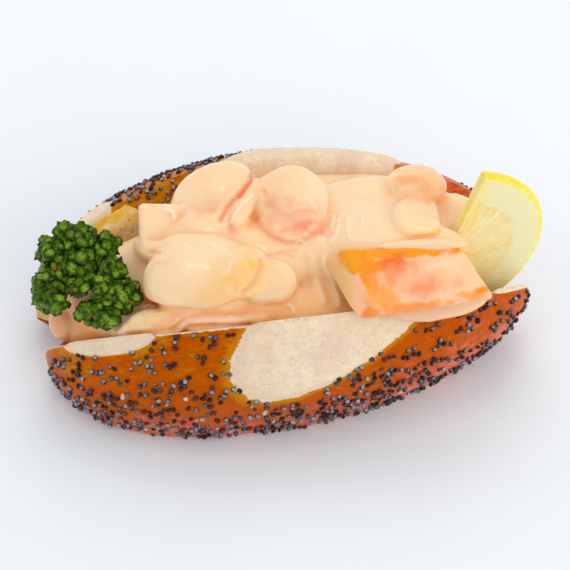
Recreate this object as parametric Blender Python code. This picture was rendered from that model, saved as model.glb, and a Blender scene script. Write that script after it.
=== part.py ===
"""A surimi sandwich: a poppy-seed roll split along its top and spread open, filled with surimi salad
in a thick pink sauce, with a slab of surimi on top, a half slice of lemon and a sprig of curly parsley.

Run it in Blender 4.5. Metres, +Z up. The roll lies along X and rests on Z = 0, with its split open to
the sky. The -Y half leans out the most. The origin is on the table under the middle of the roll.
"""
import math
import random

import bmesh
import bpy
from mathutils import Euler, Matrix, Vector
from mathutils.bvhtree import BVHTree

MM = 0.001
SEED = 7
GAP = 0.35 * MM  # air kept between neighbouring solids

# The roll before it was split open.
ROLL_HALF_LENGTH = 71 * MM
ROLL_HALF_WIDTH = 28.5 * MM
ROLL_HEIGHT = 48 * MM
BELLY_HEIGHT = 18.5 * MM  # height of its widest line
TIP_HEIGHT = {-1: 12 * MM, 1: 19.5 * MM}  # at the -X and the +X end
PLAN_POWER = {-1: 2.67, 1: 1.7}  # a blunt -X end and a pointed +X end
RISE_POWER = {-1: 1.8, 1: 1.82}
PLAN_TAPER = 0.1  # the +X end is this share narrower
HINGE_HEIGHT = 5 * MM  # the bread that still joins the two halves
WEB_THICKNESS = 3 * MM
BASE_FLAT = 1 * MM  # bread lower than this is pressed flat on the table
BASE_SOFT = 6 * MM  # and bread lower than this is pressed down a little
END_OPEN = (0.90, 0.985)  # the split runs right through the bread between these shares of the length

# How each half has been spread: its side, its lean at the middle and the share of that lean at the ends,
# how far it moved out at the middle and at the -X and +X tips, and how far it slid along X.
HALVES = {
    "near": dict(side=-1, lean=35.6, end_share=0.89, out=5 * MM, tips={-1: 4.7 * MM, 1: 2.5 * MM}, slide=-0.5 * MM),
    "far": dict(side=1, lean=29.8, end_share=0.47, out=9.3 * MM, tips={-1: 5.4 * MM, 1: 7.5 * MM}, slide=-2.7 * MM),
}

# Two baker's slashes that opened in the oven. Each is an oval on the crust of the whole roll:
# its middle along X and round the crust, half its length and width, and its turn.
SLASHES = (
    dict(along=8.5 * MM, around=-1.5 * MM, length=32 * MM, width=16 * MM, turn=31),
    dict(along=-55 * MM, around=4 * MM, length=13 * MM, width=8 * MM, turn=12),
)
SLASH_RISE = 0.9 * MM
ARC_PER_RADIAN = 30 * MM  # length round the crust for each radian of section angle

STATIONS = 27
CRUST_STEPS = 15
CUT_FACE_STEPS = 3

# Poppy seeds: the largest of them.
SEED_COUNT = 150
SEED_RADIUS = 0.75 * MM
SEED_SPACING = 2.1 * MM
SEED_SUNK = 0.35  # share of the radius below the crust

# The lumps of the salad: middle and half sizes in millimetres, and the turn about X, Y and Z in degrees.
LUMPS = {
    "core": ((-2, -1, 23), (65, 22, 19), (0, 0, 0)),
    "far_bed": ((4, 17, 33), (50, 15, 11), (0, 0, 0)),
    "left_bed": ((-49, -3, 28), (17, 12, 10), (0, 0, 0)),
    "front_bed": ((-8, -20, 31), (36, 10, 8), (0, 0, 0)),
    "right_bed": ((41, 0, 30), (19, 13, 9), (0, 0, 0)),
    "back_left": ((-19, 14.5, 46), (14, 9.5, 9), (0, -18, 14)),
    "crescent": ((-11.5, 5, 49.5), (9.5, 3.8, 5), (0, -33, 43)),
    "round_slice": ((3, 5, 47.5), (10.5, 12, 8), (40, 0, 0)),
    "smooth_sheet": ((22, 6, 40), (18, 17, 9), (25, 0, 0)),
    "before_slab": ((24, -6, 40), (22, 14, 9.5), (0, 0, 0)),
    "back_right": ((39, 9, 44), (10, 8, 7.5), (20, 0, 0)),
    "small_right": ((36.5, -3.5, 43.5), (6.5, 6.2, 5.6), (30, 0, 0)),
    "big_left": ((-28, -13.5, 43), (15, 11, 9), (40, 0, 0)),
    "big_left_tip": ((-38.5, -4, 43.5), (5.5, 3, 2.5), (0, 0, 25)),
    "yellow_lobe": ((-16.6, -19.5, 45), (9.8, 6.2, 6.5), (0, -24, 23)),
    "pale_lobe": ((-7.5, -19, 40.5), (10, 6, 5.5), (20, 0, 0)),
    "front_left": ((-48, -16.5, 30), (10, 5, 4.5), (0, -12, 0)),
    "front_middle": ((-31, -21.5, 33.5), (14, 5, 4), (0, -6, 0)),
    "left_end": ((-64, -8, 23), (5.2, 5.4, 5.6), (0, 0, 0)),
    "under_lemon": ((53, 0, 34), (8.5, 8, 7), (0, 0, 0)),
    "under_slab": ((34, -18, 35), (20, 11, 8), (0, 0, 0)),
    "overhang": ((36, -29.5, 38), (18, 5.8, 3.4), (20, 0, 3)),
}
CORNER_LUMP = ((-33.5, 7, 42), (8.6, 7.5, 4.6), (28, -4, 12))  # a square-cut piece behind on the left
SALAD_VOXEL = 1.1 * MM
SALAD_SMOOTHING = 5
SALAD_TRIANGLES = 2500

# The slab of surimi: the corners of its top face in millimetres, going round, its thickness at the back
# and at the front, and how far its -X end slopes out below.
SLAB_TOP = ((12.8, -16.3, 51.5), (45.7, -19.3, 50.5), (53, -32, 43), (20, -35, 44.5))
SLAB_BACK_DEPTH = 8
SLAB_FRONT_DEPTH = 3.5
SLAB_END_SLOPE = 5
SLAB_ROUNDING = 1.5 * MM

# The half slice of lemon.
LEMON_RADIUS = 29.2 * MM
LEMON_THICKNESS = 3 * MM
LEMON_MIDDLE = Vector((44.3, -13, 40.3)) * MM  # middle of its straight cut, on the side that shows
LEMON_CUT = Vector((0.305, 0.075, 0.95))  # up along the straight cut
LEMON_RINDWARD = Vector((0.937, 0.148, -0.312))  # from that middle to the middle of the rind
LEMON_STEPS = 26

# The parsley: a stem, and the tufts of curled leaflets it ends in. For each tuft its middle in
# millimetres from the middle of the head (rightwards, upwards and forwards in the plane the head faces),
# and its half width and half height.
PARSLEY_TOP = Vector((-55.5, -9, 42)) * MM
PARSLEY_FOOT = Vector((-53, -4, 24)) * MM
PARSLEY_FACING = 55  # how far above the horizon the head faces, in degrees
TUFTS = {
    "top": ((-1.5, 11.5, 0), (6.8, 4.4)),
    "top_left": ((-10.2, 8.4, -0.5), (3.4, 4.4)),
    "left": ((-12, -3.2, -0.5), (5.2, 6.4)),
    "middle": ((-0.8, 1.4, 2), (4.6, 5)),
    "right": ((8.4, 4, 0.5), (5.4, 6.6)),
    "far_right": ((13.6, -4.6, -0.5), (3.6, 3.6)),
    "low_right": ((6.8, -5.4, 0), (5, 4.2)),
    "low": ((2.2, -11.8, 0), (6.2, 4.4)),
}
LEAVES_PER_SQUARE_MM = 0.22
LEAF_RADIUS = 1.9 * MM
LEAF_THICKNESS = 1.0 * MM
STALK_RADIUS = 0.8 * MM
PARSLEY_VOXEL = 0.5 * MM
PARSLEY_TRIANGLES = 3400


def smooth_step(low, high, value):
    """0 below low, 1 above high, and a smooth rise between them."""
    share = min(max((value - low) / (high - low), 0.0), 1.0)
    return share * share * (3 - 2 * share)


def end_of(t):
    """-1 or 1 for the end of the roll that t, from -1 to 1 along it, is nearer to."""
    return -1 if t < 0 else 1


def slash_depth(t, phi, side):
    """How far inside a slash the crust point is: 1 in the middle, 0 at the rim, negative outside."""
    deepest = -10.0
    for slash in SLASHES:
        along = t * ROLL_HALF_LENGTH - slash["along"]
        around = side * phi * ARC_PER_RADIAN - slash["around"]
        turn = math.radians(slash["turn"])
        u = (along * math.cos(turn) + around * math.sin(turn)) / slash["length"]
        v = (around * math.cos(turn) - along * math.sin(turn)) / slash["width"]
        deepest = max(deepest, 1 - (abs(u) ** 2.3 + abs(v) ** 2.3))
    return deepest


def whole_section(t):
    """Half width, middle height, height above it and depth below it of the unsplit roll at t."""
    end = end_of(t)
    across = math.sqrt(1 - abs(t) ** PLAN_POWER[end]) * (1 - PLAN_TAPER * t)
    rise = math.sqrt(1 - abs(t) ** RISE_POWER[end])
    middle = TIP_HEIGHT[end] + (BELLY_HEIGHT - TIP_HEIGHT[end]) * rise
    return ROLL_HALF_WIDTH * across, middle, (ROLL_HEIGHT - BELLY_HEIGHT) * rise, middle * rise**0.5


def spread(half, t, out, height, hold):
    """Where a point of the unsplit roll goes when its half leans out. hold is 0 where the base holds it."""
    end_share = half["end_share"]
    lean = half["lean"] * (end_share + (1 - end_share) * (1 - abs(t) ** 2.2))
    lean = math.radians(lean) * hold
    tip = half["tips"][end_of(t)]
    moved = (half["out"] + (tip - half["out"]) * abs(t) ** 3) * hold
    above = height - HINGE_HEIGHT
    y = moved + above * math.sin(lean) + out * math.cos(lean)
    z = HINGE_HEIGHT + above * math.cos(lean) - out * math.sin(lean)
    x = t * ROLL_HALF_LENGTH + half["slide"] * hold
    return Vector((x, half["side"] * y, pressed(z)))


def pressed(height):
    """The height of bread once the roll has settled on the table and its base has gone flat."""
    if height > BASE_SOFT:
        return height
    share = max((height - BASE_FLAT) / (BASE_SOFT - BASE_FLAT), 0.0)
    slope = (BASE_SOFT - BASE_FLAT) / BASE_SOFT
    return BASE_SOFT * ((3 - slope) * share**2 + (slope - 2) * share**3)


def base_hold(t, phi):
    """0 on the underside, where the two halves are still one, and 1 on the sides and past the bread's ends."""
    held = smooth_step(0.62 * math.pi, 0.97 * math.pi, phi)
    return 1 - held * (1 - smooth_step(*END_OPEN, abs(t)))


def crust_point(half, t, phi, lift=0.0):
    """A point of the crust: phi is 0 at the split and pi under the roll. lift raises it off the crust."""
    width, middle, above, below = whole_section(t)
    lift += SLASH_RISE * smooth_step(0.0, 0.35, slash_depth(t, phi, half["side"]))
    s, c = math.sin(phi), math.cos(phi)
    out = width * max(s, 0.0) ** 0.92 + lift * s
    height = middle + (above * c**0.95 if c > 0 else -below * (-c) ** 0.6) + lift * c
    return spread(half, t, out, height, base_hold(t, phi))


def crust_normal(half, t, phi):
    """The outward direction of the crust at a point."""
    step = 0.004
    point = crust_point(half, t, phi)
    along = crust_point(half, t + step, phi) - point
    around = crust_point(half, t, phi + step) - point
    return (along.cross(around) * -half["side"]).normalized()


def half_ring(half, t):
    """The closed section of one half at t: down the crust to the base, and back up the cut face."""
    ring = [crust_point(half, t, math.pi * k / CRUST_STEPS) for k in range(CRUST_STEPS + 1)]
    width, middle, above, below = whole_section(t)
    rise = above / (ROLL_HEIGHT - BELLY_HEIGHT)
    opened = smooth_step(*END_OPEN, abs(t))
    web_top = max(HINGE_HEIGHT, middle - below + WEB_THICKNESS * rise)
    overlap = 0.8 * MM * (1 - opened)
    if opened < 1:
        ring[-1].y -= half["side"] * overlap
        web = ring[-1].copy()
        web.z = max(web_top, web.z + 0.4 * MM)
        ring.append(web)
    top = middle + above
    for k in range(CUT_FACE_STEPS):
        height = web_top + (top - web_top) * k / CUT_FACE_STEPS
        ring.append(spread(half, t, 0.0, max(height, middle - below * (1 - 0.2 * opened)), 1.0))
    return ring


def loft(name, rings):
    """A closed mesh object through rings of equal length, capped at both ends."""
    bm = bmesh.new()
    rows = [[bm.verts.new(point) for point in ring] for ring in rings]
    for first, second in zip(rows, rows[1:]):
        for k in range(len(first)):
            after = (k + 1) % len(first)
            bm.faces.new((first[k], first[after], second[after], second[k]))
    bm.faces.new(rows[0])
    bm.faces.new(reversed(rows[-1]))
    bmesh.ops.recalc_face_normals(bm, faces=bm.faces)
    bmesh.ops.triangulate(bm, faces=bm.faces)
    return object_of(name, bm)


def object_of(name, bm):
    """A new scene object that holds what is in bm, which is freed."""
    mesh = bpy.data.meshes.new(name)
    bm.to_mesh(mesh)
    bm.free()
    made = bpy.data.objects.new(name, mesh)
    bpy.context.scene.collection.objects.link(made)
    return made


def apply_modifiers(made):
    """Bakes an object's modifiers into its mesh."""
    bpy.context.view_layer.update()
    graph = bpy.context.evaluated_depsgraph_get()
    mesh = bpy.data.meshes.new_from_object(made.evaluated_get(graph))
    made.modifiers.clear()
    made.data = mesh


def boolean(made, operation, others, solver="EXACT"):
    """Joins the others to an object, or cuts them from it, and applies the result."""
    group = bpy.data.collections.new(made.name + "_operands")
    for other in others:
        group.objects.link(other)
    modifier = made.modifiers.new(operation.lower(), "BOOLEAN")
    modifier.operation = operation
    modifier.solver = solver
    modifier.operand_type = "COLLECTION"
    modifier.collection = group
    apply_modifiers(made)
    bpy.data.collections.remove(group)


def keep_largest(made):
    """Drops loose crumbs and closed pockets, so that one outer skin is left."""
    bm = bmesh.new()
    bm.from_mesh(made.data)
    left = set(bm.verts)
    shells = []
    while left:
        shell = {left.pop()}
        edge_of_growth = list(shell)
        while edge_of_growth:
            vert = edge_of_growth.pop()
            for edge in vert.link_edges:
                other = edge.other_vert(vert)
                if other in left:
                    left.remove(other)
                    shell.add(other)
                    edge_of_growth.append(other)
        shells.append(shell)
    largest = max(shells, key=len)
    bmesh.ops.delete(bm, geom=[vert for vert in bm.verts if vert not in largest], context="VERTS")
    bm.to_mesh(made.data)
    bm.free()


def remove(objects):
    """Takes helper objects out of the file."""
    for made in objects:
        bpy.data.objects.remove(made)


def swollen(source, by):
    """A helper copy of an object with every face moved out, to cut room for the object and a gap round it."""
    bm = bmesh.new()
    bm.from_mesh(source.data)
    bm.normal_update()
    moved = [vert.co + vert.normal * by for vert in bm.verts]
    for vert, place in zip(bm.verts, moved):
        vert.co = place
    made = object_of(source.name + "_room", bm)
    made.hide_render = True
    made.display_type = "WIRE"
    return made


def tree_of(made):
    """A search tree of an object's faces, for distances."""
    return BVHTree.FromPolygons([v.co for v in made.data.vertices], [p.vertices for p in made.data.polygons])


def paint(made, name, colour, roughness):
    """Gives an object a plain material of its own."""
    material = bpy.data.materials.new(name)
    material.use_nodes = True
    shader = material.node_tree.nodes["Principled BSDF"]
    shader.inputs["Base Color"].default_value = (*colour, 1)
    shader.inputs["Roughness"].default_value = roughness
    shader.inputs["Metallic"].default_value = 0.0
    made.data.materials.clear()
    made.data.materials.append(material)


def make_roll():
    """The bread without its seeds, as one solid."""
    shares = [math.sin(math.pi * (k / (STATIONS - 1) - 0.5)) * 0.996 for k in range(STATIONS)]
    halves = []
    for name, half in HALVES.items():
        rings = [half_ring(half, t) for t in shares]
        count = max(len(ring) for ring in rings)
        for ring in rings:
            while len(ring) < count:  # past the bread's end the web has shrunk to a point of the base
                ring.insert(CRUST_STEPS + 1, ring[CRUST_STEPS] + Vector((0, 0, 0.3 * MM)))
        halves.append(loft("roll" if name == "near" else name, rings))
    roll, far = halves
    boolean(roll, "UNION", [far])
    remove([far])
    return roll


def seed_chance(half, t, phi):
    """How thickly the poppy seeds lie at a point of the crust, from 0 to 1."""
    if slash_depth(t, phi, half["side"]) > -0.25:
        return 0.0
    chance = 0.25 + 0.75 * smooth_step(0.2, 1.2, phi)
    if half["side"] > 0:
        chance = max(chance, 0.9 * smooth_step(-0.85, -0.6, t)) * (1 - 0.7 * smooth_step(0.45, 0.6, t))
    return chance


def seed_shape(place, normal, turn):
    """One poppy seed: a small rounded grain, partly sunk in the crust."""
    bm = bmesh.new()
    bmesh.ops.create_icosphere(bm, subdivisions=1, radius=SEED_RADIUS)
    bm.transform(Matrix.Diagonal((1.15, 0.95, 0.85, 1)))
    bm.transform(Matrix.Rotation(turn, 4, "Z"))
    bm.transform(normal.to_track_quat("Z", "Y").to_matrix().to_4x4())
    bm.transform(Matrix.Translation(place + normal * SEED_RADIUS * (0.85 - SEED_SUNK)))
    return object_of("poppy_seed", bm)


def scatter_seeds(roll, neighbours):
    """Fuses poppy seeds to the crust, clear of what lies on it."""
    draw = random.Random(SEED)
    trees = [tree_of(made) for made in neighbours]
    placed, seeds = [], []
    while len(seeds) < SEED_COUNT:
        half = HALVES["near" if draw.random() < 0.58 else "far"]
        t = draw.uniform(-0.97, 0.97)
        phi = draw.uniform(0.06, 1.95)
        turn = draw.uniform(0, math.pi)
        if draw.random() > seed_chance(half, t, phi):
            continue
        place = crust_point(half, t, phi)
        if place.z < 2 * SEED_RADIUS or any((place - other).length < SEED_SPACING for other in placed):
            continue
        if any(tree.find_nearest(place)[3] < 2 * SEED_RADIUS + GAP for tree in trees):
            continue
        placed.append(place)
        seeds.append(seed_shape(place, crust_normal(half, t, phi), turn))
    boolean(roll, "UNION", seeds)
    remove(seeds)


def lump(middle, half_sizes, turn, square=False):
    """One piece of the salad, as an egg shape or a soft-cornered block."""
    bm = bmesh.new()
    if square:
        bmesh.ops.create_cube(bm, size=2)
        bmesh.ops.bevel(bm, geom=bm.edges[:], offset=0.35, segments=3, affect="EDGES")
    else:
        bmesh.ops.create_uvsphere(bm, u_segments=28, v_segments=18, radius=1)
    bm.transform(Matrix.Diagonal((*(size * MM for size in half_sizes), 1)))
    bm.transform(Euler([math.radians(angle) for angle in turn]).to_matrix().to_4x4())
    bm.transform(Matrix.Translation(Vector(middle) * MM))
    return bm


def make_salad():
    """The surimi salad: a bed of sauce with the lumps that show, under one smooth coat of sauce."""
    whole = bmesh.new()
    for middle, half_sizes, turn in LUMPS.values():
        add_to(whole, lump(middle, half_sizes, turn))
    add_to(whole, lump(*CORNER_LUMP, square=True))
    salad = object_of("surimi_salad", whole)
    merge(salad, SALAD_VOXEL, SALAD_SMOOTHING, SALAD_TRIANGLES)
    return salad


def merge(made, voxel, smoothing, triangles):
    """Turns overlapping lumps into one smooth skin with about the given number of triangles."""
    skin = made.modifiers.new("one_skin", "REMESH")
    skin.mode = "VOXEL"
    skin.voxel_size = voxel
    coat = made.modifiers.new("smooth_coat", "SMOOTH")
    coat.iterations = smoothing
    apply_modifiers(made)
    keep_largest(made)
    thin = made.modifiers.new("fewer_faces", "DECIMATE")
    thin.ratio = triangles / (2 * len(made.data.polygons))
    apply_modifiers(made)


def add_to(whole, part):
    """Copies one bmesh into another and frees it."""
    mesh = bpy.data.meshes.new("scrap")
    part.to_mesh(mesh)
    part.free()
    whole.from_mesh(mesh)
    bpy.data.meshes.remove(mesh)


def make_slab():
    """The slab of surimi that lies on the salad and over the near edge of the roll."""
    bm = bmesh.new()
    top = [Vector(corner) * MM for corner in SLAB_TOP]
    down = (top[1] - top[0]).cross(top[3] - top[0]).normalized() * MM
    depths = (SLAB_BACK_DEPTH, SLAB_BACK_DEPTH, SLAB_FRONT_DEPTH, SLAB_FRONT_DEPTH)
    low = [corner + down * depth for corner, depth in zip(top, depths)]
    for k in (0, 3):
        low[k].x -= SLAB_END_SLOPE * MM
    corners = [bm.verts.new(point) for point in top + low]
    for face in ((0, 3, 2, 1), (4, 5, 6, 7), (0, 1, 5, 4), (1, 2, 6, 5), (2, 3, 7, 6), (3, 0, 4, 7)):
        bm.faces.new([corners[k] for k in face])
    bmesh.ops.recalc_face_normals(bm, faces=bm.faces)
    bmesh.ops.bevel(bm, geom=bm.edges[:], offset=SLAB_ROUNDING, segments=2, profile=0.5, affect="EDGES")
    bmesh.ops.triangulate(bm, faces=bm.faces)
    return object_of("surimi_slab", bm)


def make_lemon():
    """Half a round slice of lemon, standing on edge in the salad."""
    cut = LEMON_CUT.normalized()
    facing = LEMON_RINDWARD.cross(cut).normalized()
    rindward = cut.cross(facing)
    outline = []
    for k in range(LEMON_STEPS + 1):
        angle = math.pi * k / LEMON_STEPS
        outline.append(cut * math.cos(angle) + rindward * math.sin(angle))
    rings = []
    for depth, radius in ((0.0, 0.98), (0.12, 1.0), (0.88, 1.0), (1.0, 0.98)):
        middle = LEMON_MIDDLE - facing * LEMON_THICKNESS * depth
        rings.append([middle + point * LEMON_RADIUS * radius for point in outline])
    return loft("lemon_slice", rings)


def tube(start, end, radius, sides=6):
    """A straight round stalk from start to end."""
    bm = bmesh.new()
    axis = end - start
    bmesh.ops.create_cone(bm, cap_ends=True, segments=sides, radius1=radius, radius2=radius, depth=axis.length)
    bm.transform(axis.to_track_quat("Z", "Y").to_matrix().to_4x4())
    bm.transform(Matrix.Translation((start + end) / 2))
    bmesh.ops.triangulate(bm, faces=bm.faces)
    return bm


def leaf_shape(place, outward, size):
    """One curled parsley leaflet: a thick little cup that opens inwards."""
    bm = bmesh.new()
    bmesh.ops.create_icosphere(bm, subdivisions=2, radius=1)
    bm.transform(Matrix.Diagonal((LEAF_RADIUS * size, LEAF_RADIUS * size, LEAF_THICKNESS / 2, 1)))
    for vert in bm.verts:
        vert.co.z -= 0.28 * vert.co.xy.length_squared / (LEAF_RADIUS * size)
    bm.transform(outward.to_track_quat("Z", "Y").to_matrix().to_4x4())
    bm.transform(Matrix.Translation(place))
    return bm


def make_parsley(neighbours):
    """A sprig of curly parsley: a stem and stalks that end in tufts of leaflets, clear of the rest."""
    draw = random.Random(SEED + 1)
    trees = [tree_of(made) for made in neighbours]
    facing = math.radians(PARSLEY_FACING)
    right = Vector((1, 0, 0))
    front = Vector((0, -math.cos(facing), math.sin(facing)))
    up = front.cross(right)
    whole = tube(PARSLEY_FOOT, PARSLEY_TOP, STALK_RADIUS * 1.4, sides=8)
    for (across, rise, forward), (half_width, half_height) in TUFTS.values():
        middle = PARSLEY_TOP + (right * across + up * rise + front * forward) * MM
        add_to(whole, tube(PARSLEY_TOP, middle, STALK_RADIUS))
        for k in range(round(math.pi * half_width * half_height * LEAVES_PER_SQUARE_MM)):
            out = Vector([draw.gauss(0, 1) for axis in range(3)]).normalized()
            out = (out + front * 0.35).normalized()
            offset = right * out.dot(right) * half_width + up * out.dot(up) * half_height
            offset += front * out.dot(front) * min(half_width, half_height)
            place = middle + offset * (draw.uniform(0.8, 1) * MM)
            if all(tree.find_nearest(place)[3] > LEAF_RADIUS * 1.3 + GAP for tree in trees):
                add_to(whole, leaf_shape(place, out, draw.uniform(0.85, 1.15)))
                add_to(whole, tube(middle, place, STALK_RADIUS * 0.8, sides=5))
    sprig = object_of("parsley_sprig", whole)
    merge(sprig, PARSLEY_VOXEL, 1, PARSLEY_TRIANGLES)
    return sprig


def main():
    """Builds the whole sandwich."""
    remove(list(bpy.data.objects))
    roll = make_roll()
    roll_room = swollen(roll, GAP)
    slab = make_slab()
    boolean(slab, "DIFFERENCE", [roll_room])
    lemon = make_lemon()
    slab_room, lemon_room = swollen(slab, GAP), swollen(lemon, GAP)
    boolean(lemon, "DIFFERENCE", [roll_room, slab_room])
    salad = make_salad()
    stem_end = PARSLEY_FOOT + (PARSLEY_FOOT - PARSLEY_TOP).normalized() * 2 * GAP
    stem_room = object_of("stem_room", tube(stem_end, PARSLEY_TOP, STALK_RADIUS * 1.4 + 2 * GAP, sides=8))
    boolean(salad, "DIFFERENCE", [roll_room, slab_room, lemon_room, stem_room])
    keep_largest(salad)
    parsley = make_parsley([roll, salad])
    salad_room = swollen(salad, GAP)
    boolean(parsley, "DIFFERENCE", [salad_room, roll_room])
    keep_largest(parsley)
    scatter_seeds(roll, [salad, slab, lemon, parsley])
    remove([roll_room, slab_room, lemon_room, stem_room, salad_room])
    paint(roll, "glossy_crust", (0.56, 0.24, 0.07), 0.35)
    paint(salad, "pink_sauce", (0.95, 0.70, 0.47), 0.25)
    paint(slab, "sauced_surimi", (0.95, 0.52, 0.32), 0.25)
    paint(lemon, "lemon", (0.90, 0.85, 0.40), 0.35)
    paint(parsley, "parsley_leaf", (0.16, 0.36, 0.05), 0.5)


main()
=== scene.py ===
"""Looks of a surimi sandwich: a poppy-seed roll with surimi salad, a slab of surimi, lemon and parsley."""

import itertools
import logging
import math
import random
from dataclasses import dataclass, field
from enum import Enum
from typing import Any, Callable, Iterable, Sequence

import bpy
import numpy as np
from mathutils import Matrix, Vector, noise
from mathutils.bvhtree import BVHTree


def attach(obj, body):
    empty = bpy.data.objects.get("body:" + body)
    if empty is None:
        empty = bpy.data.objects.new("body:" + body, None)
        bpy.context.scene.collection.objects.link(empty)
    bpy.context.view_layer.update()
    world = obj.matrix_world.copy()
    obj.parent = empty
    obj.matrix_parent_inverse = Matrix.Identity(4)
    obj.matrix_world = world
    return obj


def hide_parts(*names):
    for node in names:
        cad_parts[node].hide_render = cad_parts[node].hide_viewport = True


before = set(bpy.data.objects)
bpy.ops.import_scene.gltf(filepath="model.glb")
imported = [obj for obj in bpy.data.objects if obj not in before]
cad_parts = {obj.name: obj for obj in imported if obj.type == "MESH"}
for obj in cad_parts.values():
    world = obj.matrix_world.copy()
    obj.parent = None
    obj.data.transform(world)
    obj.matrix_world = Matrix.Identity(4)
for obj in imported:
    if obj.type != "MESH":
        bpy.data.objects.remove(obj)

LOG = logging.getLogger("surimi_sandwich")
MM = 0.001
# Fixes the offsets of noise_vector, which would otherwise come from the clock.
NOISE_SEED = 1
Colour = tuple[float, float, float]
Triple = tuple[float, float, float]
Array = np.ndarray
Socket = bpy.types.NodeSocket


# ---------------------------------------------------------------------------------------------
# Small tools
# ---------------------------------------------------------------------------------------------


def smooth_step(low: float, high: float, value: Any) -> Any:
    """Rises smoothly from 0 where a number or an array is at low to 1 where it is at high."""
    share = np.clip((np.asarray(value, float) - low) / (high - low), 0.0, 1.0)
    return share * share * (3 - 2 * share)


def waves(points: Array, size: float, seed: float = 0.0) -> Array:
    """Smooth random heights, from about -1 to 1, at places in metres, in waves of a size in metres."""
    shift = Vector((seed * 7.3, seed * 3.1, seed * 5.7))
    return np.array([noise.noise(Vector(point) / size + shift) for point in points])


def wobble(points: Array, size: float, seed: float = 0.0) -> Array:
    """Smooth random shifts, three values from about -1 to 1, at places in metres."""
    shift = Vector((seed * 2.9, seed * 8.3, seed * 4.1))
    return np.array([noise.noise_vector(Vector(point) / size + shift) for point in points])


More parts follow.
